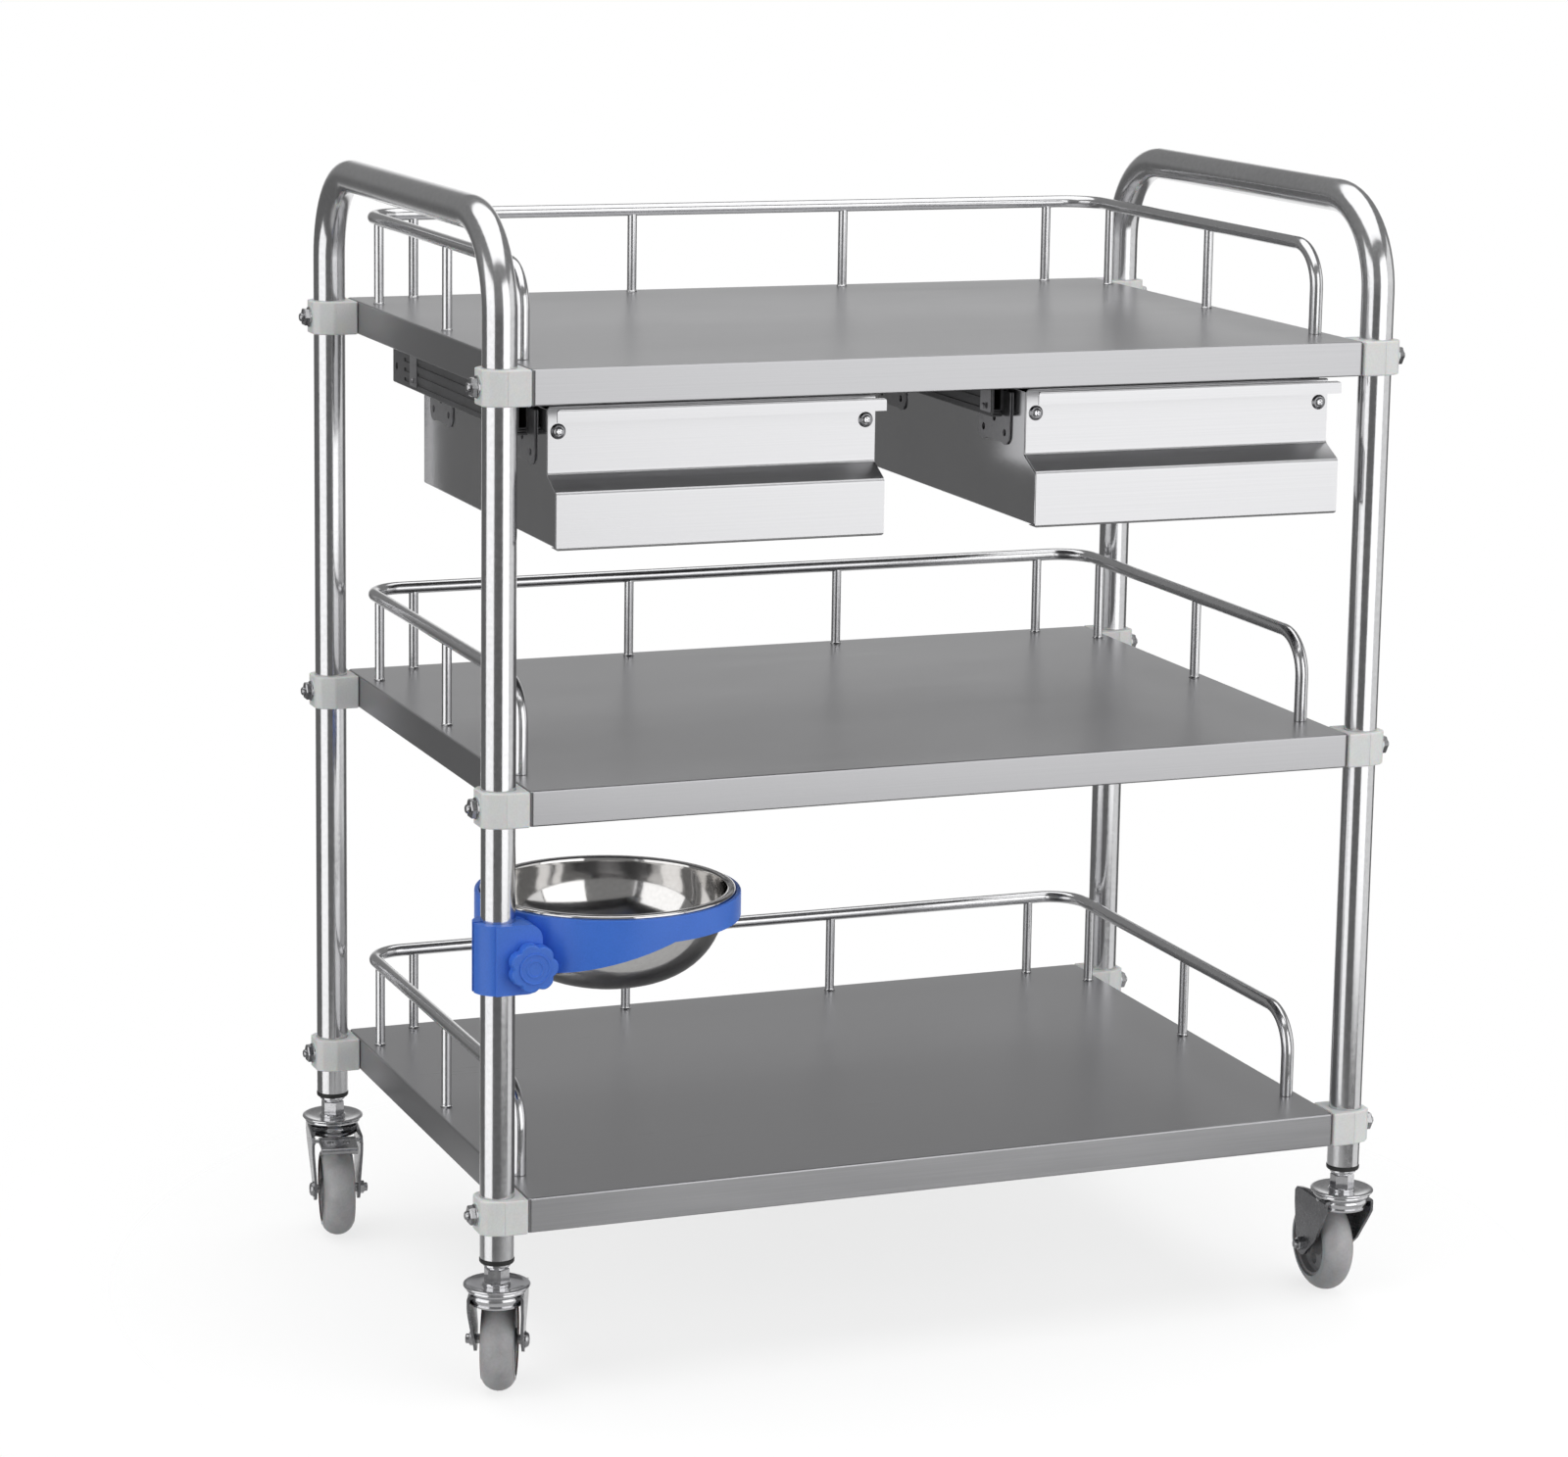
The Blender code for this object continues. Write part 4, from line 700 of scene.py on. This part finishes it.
def hubShape():
    hub = stackRings("hub", mirrored(castor["hub"]), castor["sides"], closed=True)
    row, reach = castor["windowRow"], castor["toolReach"]
    for i in range(castor["windows"]):
        swing = math.tau * i / castor["windows"]
        window = cylinder("window", castor["window"], -reach, reach, 20)
        cut(hub, place(window, (row * math.cos(swing), row * math.sin(swing), 0)))
    return hub


def forkShape():
    trail, wheel, half, tool = castor["trail"], castor["wheel"], castor["forkHalf"], castor["forkTool"]
    line = [(-y, z) for y, z in half] + list(reversed(half))
    yoke = foldSheet("yoke", castor["forkLong"], line, -castor["forkSheet"], castor["forkBend"], 5)
    place(yoke, (castor["forkMiddle"], 0, 0))
    corners = list(castor["forkSide"]) + arc((trail, wheel), castor["eye"], -150, 0, 12)
    cut(yoke, place(flatOutline("side", corners, tool), (0, tool / 2, 0), (90, 0, 0)), 'INTERSECT')
    cut(yoke, block("mouth", *castor["mouth"]))
    return soften(yoke, castor["forkSoft"], 2, 50)


def axleShape():
    trail, wheel, out = castor["trail"], castor["wheel"], castor["forkHalf"][0][0]
    head = stackRings("head", castor["axleHead"], sides=32)
    nut = stackRings("nut", castor["axleNut"], sides=6)
    tail = stackRings("tail", castor["axleTail"], sides=24)
    end = place(joined("end", nut, tail), (trail, out, wheel), (-90, 0, 0))
    place(head, (trail, -out, wheel), (90, 0, 0))
    pin = place(cylinder("pin", castor["axle"], -out, out, 24), (trail, 0, wheel), (90, 0, 0))
    return joined("axle", head, end, pin)


def headShape():
    # bearing cup, brim and dome, then the nut, the collar and the stem
    cup = stackRings("cup", castor["cup"], sides=64)
    nut = stackRings("nut", castor["headNut"], sides=6)
    collar = stackRings("collar", castor["collar"], sides=44)
    stem = stackRings("stem", castor["stem"], sides=28)
    return joined("head", cup, nut, collar, stem)


pedal = {"barrel": 0.0028, "thick": 0.0018, "reach": 0.025, "curl": 0.0030, "wide": 0.0296, "soft": 0.0005,
         "hole": 0.0029, "toolReach": 0.006, "holes": ((0.0105, -0.0065), (0.0105, 0.0065)),
         "pinHalf": ((0.0022, -0.0188), (0.0030, -0.0184), (0.0030, -0.0176), (0.0015, -0.0176)),
         "spot": (0.036, 0, 0.0795)}


def pedalShape():
    thick, reach, curl, wide = (pedal[key] for key in ("thick", "reach", "curl", "wide"))
    corners = arc((0, 0), pedal["barrel"], 40, 320, 11) + [(reach - curl * 2, -thick / 2)]
    corners += arc((reach - curl, thick / 2 - curl), curl, -180, 60, 11)
    plate = place(flatOutline("plate", corners, wide), (0, wide / 2, 0), (90, 0, 0))
    soften(plate, pedal["soft"], 2, 60)
    for x, y in pedal["holes"]:
        hole = cylinder("hole", pedal["hole"], -pedal["toolReach"], pedal["toolReach"], 24)
        cut(plate, place(hole, (x, y, 0)))
    pin = stackRings("pin", mirrored(pedal["pinHalf"]), sides=20)
    return place(joined("pedal", plate, place(pin, turn=(90, 0, 0))), pedal["spot"])


def buildCastors():
    tyre, hub = tyreShape(), hubShape()
    for part in (tyre, hub):
        place(part, (castor["trail"], 0, castor["wheel"]), (90, 0, 0))
    yoke, axle, head, lever = forkShape(), axleShape(), headShape(), pedalShape()
    drum = stackRings("drum", castor["drum"], sides=64)
    bush = stackRings("bush", castor["bush"], sides=48)
    for corner, angle in castor["headings"].items():
        low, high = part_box("castor_head_" + corner)
        spot, turn = ((low.x + high.x) / 2, (low.y + high.y) / 2, 0), (0, 0, angle)
        swivel, wheel = "castor_" + corner, "wheel_" + corner
        fit(copyOf(head, "castorHead." + corner, spot), "brightPlate", "frame", "castor_head_" + corner)
        fit(copyOf(bush, "castorBush." + corner, spot), "blackBush", "frame")
        fit(copyOf(yoke, "castorFork." + corner, spot, turn), "forkSteel", swivel, "castor_fork_" + corner)
        fit(copyOf(drum, "castorDrum." + corner, spot, turn), "brightPlate", swivel)
        fit(copyOf(axle, "castorAxle." + corner, spot, turn), "boltSteel", swivel)
        fit(copyOf(tyre, "tyre." + corner, spot, turn), "greyTyre", wheel, "castor_tyre_" + corner)
        fit(copyOf(hub, "hub." + corner, spot, turn), "greyHub", wheel, "castor_hub_" + corner)
        if "rear" in corner:
            foot = copyOf(lever, "pedal." + corner, spot, turn)
            fit(foot, "boltSteel", "brake_" + corner, "brake_pedal_" + corner)
    drop(tyre, hub, yoke, drum, axle, head, bush, lever)
    print("castors rolled on")


buildCastors()

# bowl holder: ring and rear jaw in one moulding, front jaw, lobed knob, and the bowl

holder = {"arm": 28.5, "reach": (0.101943, 0.05535), "rim": 0.364, "ring": 0.0976, "wall": 0.0035,
          "ledge": 0.006, "ledgeDrop": 0.006, "ledgeThick": 0.003, "deep": 0.0425, "band": 0.0185,
          "skirtSlope": 19.5, "skirtTool": ((-0.05, -0.15, -0.1), (0.30, 0.15, 0)), "toolReach": 0.3,
          "jaw": 0.0185, "low": 0.310, "high": 0.361, "split": 0.0015, "jawTool": 0.05, "toolPast": 0.01,
          "lugReach": 0.0275, "lugHalf": 0.0135, "lugRound": 0.011, "plateStart": -0.0070,
          "plateHalf": 0.0186, "bridgeInset": 0.004, "trimGap": 0.0004, "bore": 0.01265, "soft": 0.0008,
          "screwX": 0.0185, "screwZ": 0.331, "screwHoles": ((0.0029, -0.005), (0.0068, 0.0135)),
          "screwTool": 0.02, "bowlSeat": 0.3583, "sides": 72}


def ringShape():
    outer, soft, deep, sunk = (holder[key] for key in ("ring", "soft", "deep", "ledgeDrop"))
    inner, reach, curve = outer - holder["wall"], holder["toolReach"], soft * 0.3
    ledge, under = inner - holder["ledge"], -sunk - holder["ledgeThick"]
    rings = [(inner + soft, 0), (outer - soft, 0), (outer - curve, -curve), (outer, -soft), (outer, -deep),
             (inner, -deep), (inner, under), (ledge, under), (ledge, -sunk), (inner, -sunk), (inner, -soft),
             (inner + curve, -curve)]
    ring = stackRings("ring", rings, holder["sides"], closed=True)
    slab = place(block("slab", *holder["skirtTool"]), (-outer, 0, -deep), (0, -holder["skirtSlope"], 0))
    cut(slab, block("below", (-reach, -reach, -reach), (reach, reach, -holder["band"])), 'INTERSECT')
    return cut(ring, slab)


def lugShape(start, half):
    low, high, reach = holder["low"], holder["high"], holder["lugReach"]
    lug = flatOutline("lug", [(start, low), (reach, low), (reach, high), (start, high)], half * 2)
    edit(lug)
    choose(lug, 'EDGE', lambda edge: upright(edge) and edge.verts[0].co.x > holder["jaw"])
    bpy.ops.mesh.bevel(offset=holder["lugRound"], segments=8)
    return place(lug, (0, half, 0), (90, 0, 0))


def jawShape(front):
    # the part of the clamp before or behind the split, about the post, its lug along +X
    low, high, split, reach, past = (holder[key] for key in ("low", "high", "split", "jawTool", "toolPast"))
    body = cylinder("body", holder["jaw"], low, high, 64)
    cut(body, lugShape(0, holder["lugHalf"]), 'UNION')
    if front:
        cut(body, lugShape(holder["plateStart"], holder["plateHalf"]), 'UNION')
    near, far = (-reach, -split) if front else (split, reach)
    return cut(body, block("keep", (-reach, near, low - past), (reach, far, high + past)), 'INTERSECT')


knob = {"radius": 0.0178, "notch": 0.0026, "lobes": 7, "lobeSteps": 14, "lobePower": 1.4, "start": 0.019,
        "thick": 0.010, "soft": 0.0012,
        "face": ((0.0115, 0.0280), (0.0115, 0.0296), (0.0112, 0.0300), (0.0104, 0.0300), (0.0100, 0.0294),
                 (0.0068, 0.0294), (0.0064, 0.0299), (0.0054, 0.0299), (0.0050, 0.0293)),
        "neck": ((0.0062, 0.0138), (0.0062, 0.0200)), "stud": ((0.0025, -0.0042), (0.0025, 0.0145))}


def knobShape():
    lobes, points = knob["lobes"], []
    steps = lobes * knob["lobeSteps"]
    for i in range(steps):
        swing = math.tau * i / steps
        dent = (1 - abs(math.cos(lobes * swing / 2))) ** knob["lobePower"]
        out = knob["radius"] - knob["notch"] * dent
        points.append((out * math.cos(swing), out * math.sin(swing)))
    grip = flatOutline("grip", points, knob["thick"])
    soften(grip, knob["soft"], 3, 60)
    place(grip, (0, 0, knob["start"]))
    face = stackRings("face", knob["face"], sides=56)
    neck = stackRings("neck", knob["neck"], sides=36)
    stud = stackRings("stud", knob["stud"], sides=24)
    return place(joined("knob", grip, face, neck, stud), turn=(90, 0, 0))


# the bowl's curve runs from its floor out to its side; roll goes up the back of the rim and over it
bowl = {"curveFrom": 16, "curveSteps": 16, "curveWide": 0.087234, "curveDeep": 0.0672, "shoulder": 0.0036,
        "widePower": 0.74, "deepPower": 0.97, "wall": 0.0008, "wallOut": 0.0006, "wallDown": 0.00048,
        "roll": ((0.0880216, 0.0058), (0.0886, 0.0066), (0.0900, 0.0072), (0.0918, 0.0072), (0.0927, 0.0064),
                 (0.0926, 0.0050), (0.0929, 0.0042), (0.0936, 0.0048), (0.0938, 0.0063), (0.0933, 0.0076),
                 (0.0920, 0.0082), (0.0900, 0.0082), (0.0882, 0.0078), (0.0874216, 0.0068))}


def bowlShape():
    start, steps, inner = bowl["curveFrom"], bowl["curveSteps"], []
    for i in range(steps + 1):
        swing = math.radians(start + (90 - start) * i / steps)
        inner.append((bowl["curveWide"] * math.sin(swing) ** bowl["widePower"],
                      bowl["shoulder"] - bowl["curveDeep"] * math.cos(swing) ** bowl["deepPower"]))
    outer = [(r + bowl["wallOut"], z - bowl["wallDown"]) for r, z in inner]
    outer[0] = (outer[0][0], inner[0][1] - bowl["wall"])
    return stackRings("bowl", outer + list(bowl["roll"]) + inner[::-1], holder["sides"])


def buildBowlHolder():
    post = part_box("end_frame_left")
    x, y = (post[0].x + post[1].x) / 2, post[0].y + endFrame["radius"]
    arm, low, high, past, jaw = (holder[key] for key in ("arm", "low", "high", "toolPast", "jaw"))
    turn, long = (0, 0, arm), math.hypot(*holder["reach"])
    ringX, ringY = long * math.cos(math.radians(arm)), long * math.sin(math.radians(arm))
    middle, inset = holder["ring"] - holder["wall"] / 2, holder["bridgeInset"]
    ring = place(ringShape(), (ringX, ringY, holder["rim"]), turn)
    rear, front = jawShape(False), jawShape(True)
    bridge = block("bridge", (0, -jaw / 2, low + inset), (long - middle, jaw / 2, high - inset))
    cut(rear, place(bridge, turn=turn), 'UNION')
    for half, radius in ((rear, middle), (front, holder["ring"] + holder["trimGap"])):
        room = cylinder("room", radius, low - past, high + past, holder["sides"])
        cut(half, place(room, (ringX, ringY, 0), turn))
    for half in (rear, front):
        soften(half, holder["soft"], 2, 50)
        cut(half, cylinder("bore", holder["bore"], low - past, high + past, 64))
        for wide, near in holder["screwHoles"]:
            hole = cylinder("hole", wide, near, holder["screwTool"], 32)
            cut(half, place(hole, (holder["screwX"], 0, holder["screwZ"]), (90, 0, 0)))
    for piece in (rear, ring, front):
        place(piece, (x, y, 0))
    fit(joined("bowlRing", ring, rear), "bluePlastic", "bowl_holder", "bowl_ring", angle=32)
    fit(joined("bowlJaw", front), "bluePlastic", "bowl_holder", "bowl_clamp_jaw", angle=32)
    grip = place(knobShape(), (x + holder["screwX"], y, holder["screwZ"]))
    fit(joined("bowlKnob", grip), "bluePlastic", "knob", "clamp_knob", angle=40)
    dish = place(bowlShape(), (x + ringX, y + ringY, holder["bowlSeat"]))
    fit(joined("bowlDish", dish), "bowlSteel", "bowl", "bowl", angle=50)
    print("bowl holder clamped on")


buildBowlHolder()

# stage: a pale floor that fades out, air that is white behind the trolley, soft boxes
# each of the boxes has turn, distance, height, size and power; over has spot, size, power and aim

studio = {"floor": (0.86, 0.86, 0.86, 1), "floorRough": 0.9, "floorShine": 0.1, "floorGlow": 0.42,
          "floorSolid": 0.35, "floorGone": 0.85, "floorShow": 0.45, "air": 0.15, "upperAir": 0.25,
          "airBlend": 0.15, "backdrop": 1.0, "backdropTurn": 67.7, "backdropDip": -11.9,
          "backdropWide": 15, "backdropGone": 32,
          "boxes": {"keyRight": (-68, 2.5, 0.9, (2.1, 2.5), 24),
                    "sideRight": (-20, 2.4, 0.55, (2.1, 2.5), 12),
                    "fillLeft": (-166, 2.4, 0.55, (2.2, 2.5), 21)},
          "over": ((0, 0, 3), (3.8, 3.8), 58, (0, 0, 0.4)),
          "spot": (-1.2635, -3.0755, 1.1366), "swing": 21.586, "dip": 10.611, "roll": 0.886,
          "sensor": 36, "lens": 99.77, "shiftY": -0.0625}
white = (1, 1, 1, 1)


def heading(turn, dip):
    turn, dip = math.radians(turn), math.radians(dip)
    return Vector((math.cos(turn) * math.cos(dip), math.sin(turn) * math.cos(dip), math.sin(dip)))


def buildFloor():
    bpy.ops.mesh.primitive_circle_add(vertices=96, radius=studio["floorGone"], fill_type='NGON')
    floor = rename("floor")
    paint = bpy.data.materials.new("floorPaint")
    paint.use_nodes = True
    nodes, link = paint.node_tree.nodes, paint.node_tree.links.new
    shader = setInputs(nodes["Principled BSDF"], {
        "Base Color": studio["floor"], "Roughness": studio["floorRough"],
        "Specular IOR Level": studio["floorShine"], "Emission Color": white})
    path = addNode(nodes, "LightPath", {})
    seen = path.outputs["Is Camera Ray"]
    for ray in ("Is Glossy Ray", "Is Transmission Ray"):
        either = addNode(nodes, "Math", {}, operation='MAXIMUM')
        link(seen, either.inputs[0])
        link(path.outputs[ray], either.inputs[1])
        seen = either.outputs[0]
    glow = addNode(nodes, "Math", {1: studio["floorGlow"]}, operation='MULTIPLY')
    link(seen, glow.inputs[0])
    link(glow.outputs[0], shader.inputs["Emission Strength"])
    where = addNode(nodes, "TexCoord", {})
    away = addNode(nodes, "VectorMath", {}, operation='LENGTH')
    fade = addNode(nodes, "MapRange", {
        "From Min": studio["floorSolid"], "From Max": studio["floorGone"],
        "To Min": studio["floorShow"], "To Max": 0}, interpolation_type='SMOOTHERSTEP')
    link(where.outputs["Object"], away.inputs[0])
    link(away.outputs["Value"], fade.inputs["Value"])
    link(fade.outputs["Result"], shader.inputs["Alpha"])
    floor.data.materials.append(paint)


def buildAir():
    world = bpy.data.worlds.new("studioAir")
    scene.world = world
    world.use_nodes = True
    nodes, link = world.node_tree.nodes, world.node_tree.links.new
    wide, gone = (math.cos(math.radians(studio[key])) for key in ("backdropWide", "backdropGone"))
    where = addNode(nodes, "TexCoord", {})
    away = heading(studio["backdropTurn"], studio["backdropDip"])
    facing = addNode(nodes, "VectorMath", {1: away}, operation='DOT_PRODUCT')
    glow = addNode(nodes, "MapRange", {"From Min": gone, "From Max": wide, "To Max": studio["backdrop"]},
                   interpolation_type='SMOOTHSTEP')
    split = addNode(nodes, "SeparateXYZ", {})
    rise = addNode(nodes, "MapRange", {
        "From Min": -studio["airBlend"], "From Max": studio["airBlend"],
        "To Min": studio["air"], "To Max": studio["upperAir"]}, interpolation_type='SMOOTHSTEP')
    link(where.outputs["Generated"], split.inputs[0])
    link(split.outputs["Z"], rise.inputs["Value"])
    link(rise.outputs["Result"], glow.inputs["To Min"])
    link(where.outputs["Generated"], facing.inputs[0])
    link(facing.outputs["Value"], glow.inputs["Value"])
    air = setInputs(nodes["Background"], {"Color": white})
    link(glow.outputs["Result"], air.inputs["Strength"])


def softBox(name, spot, size, power, aim):
    bpy.ops.object.light_add(type='AREA', location=spot)
    lamp = bpy.context.object
    lamp.name = name
    lamp.data.shape = 'RECTANGLE'
    lamp.data.size, lamp.data.size_y = size
    lamp.data.energy = power
    lamp.visible_camera = False
    lamp.rotation_euler = (Vector(aim) - Vector(spot)).to_track_quat('-Z', 'Y').to_euler()


def buildStage():
    buildFloor()
    buildAir()
    for name, (turn, away, high, size, power) in studio["boxes"].items():
        spot = heading(turn, 0) * away
        softBox(name, (spot.x, spot.y, high), size, power, (0, 0, high))
    softBox("over", *studio["over"])
    print("stage lit")


def buildCamera():
    swing, dip, roll = (math.radians(studio[key]) for key in ("swing", "dip", "roll"))
    ahead = Vector((math.sin(swing) * math.cos(dip), math.cos(swing) * math.cos(dip), -math.sin(dip)))
    right = Vector((math.cos(swing), -math.sin(swing), 0))
    up = right.cross(ahead)
    tiltedRight = right * math.cos(roll) + up * math.sin(roll)
    tiltedUp = up * math.cos(roll) - right * math.sin(roll)
    bpy.ops.object.camera_add(location=studio["spot"])
    camera = bpy.context.object
    camera.name = "photoCamera"
    turn = Matrix((tiltedRight, tiltedUp, -ahead)).transposed()
    camera.rotation_euler = turn.to_euler()
    camera.data.sensor_width = studio["sensor"]
    camera.data.lens = studio["lens"]
    camera.data.shift_y = studio["shiftY"]
    scene.camera = camera
    print("camera set")


buildStage()
buildCamera()
scene.view_settings.view_transform = 'Standard'
print("trolley finished")
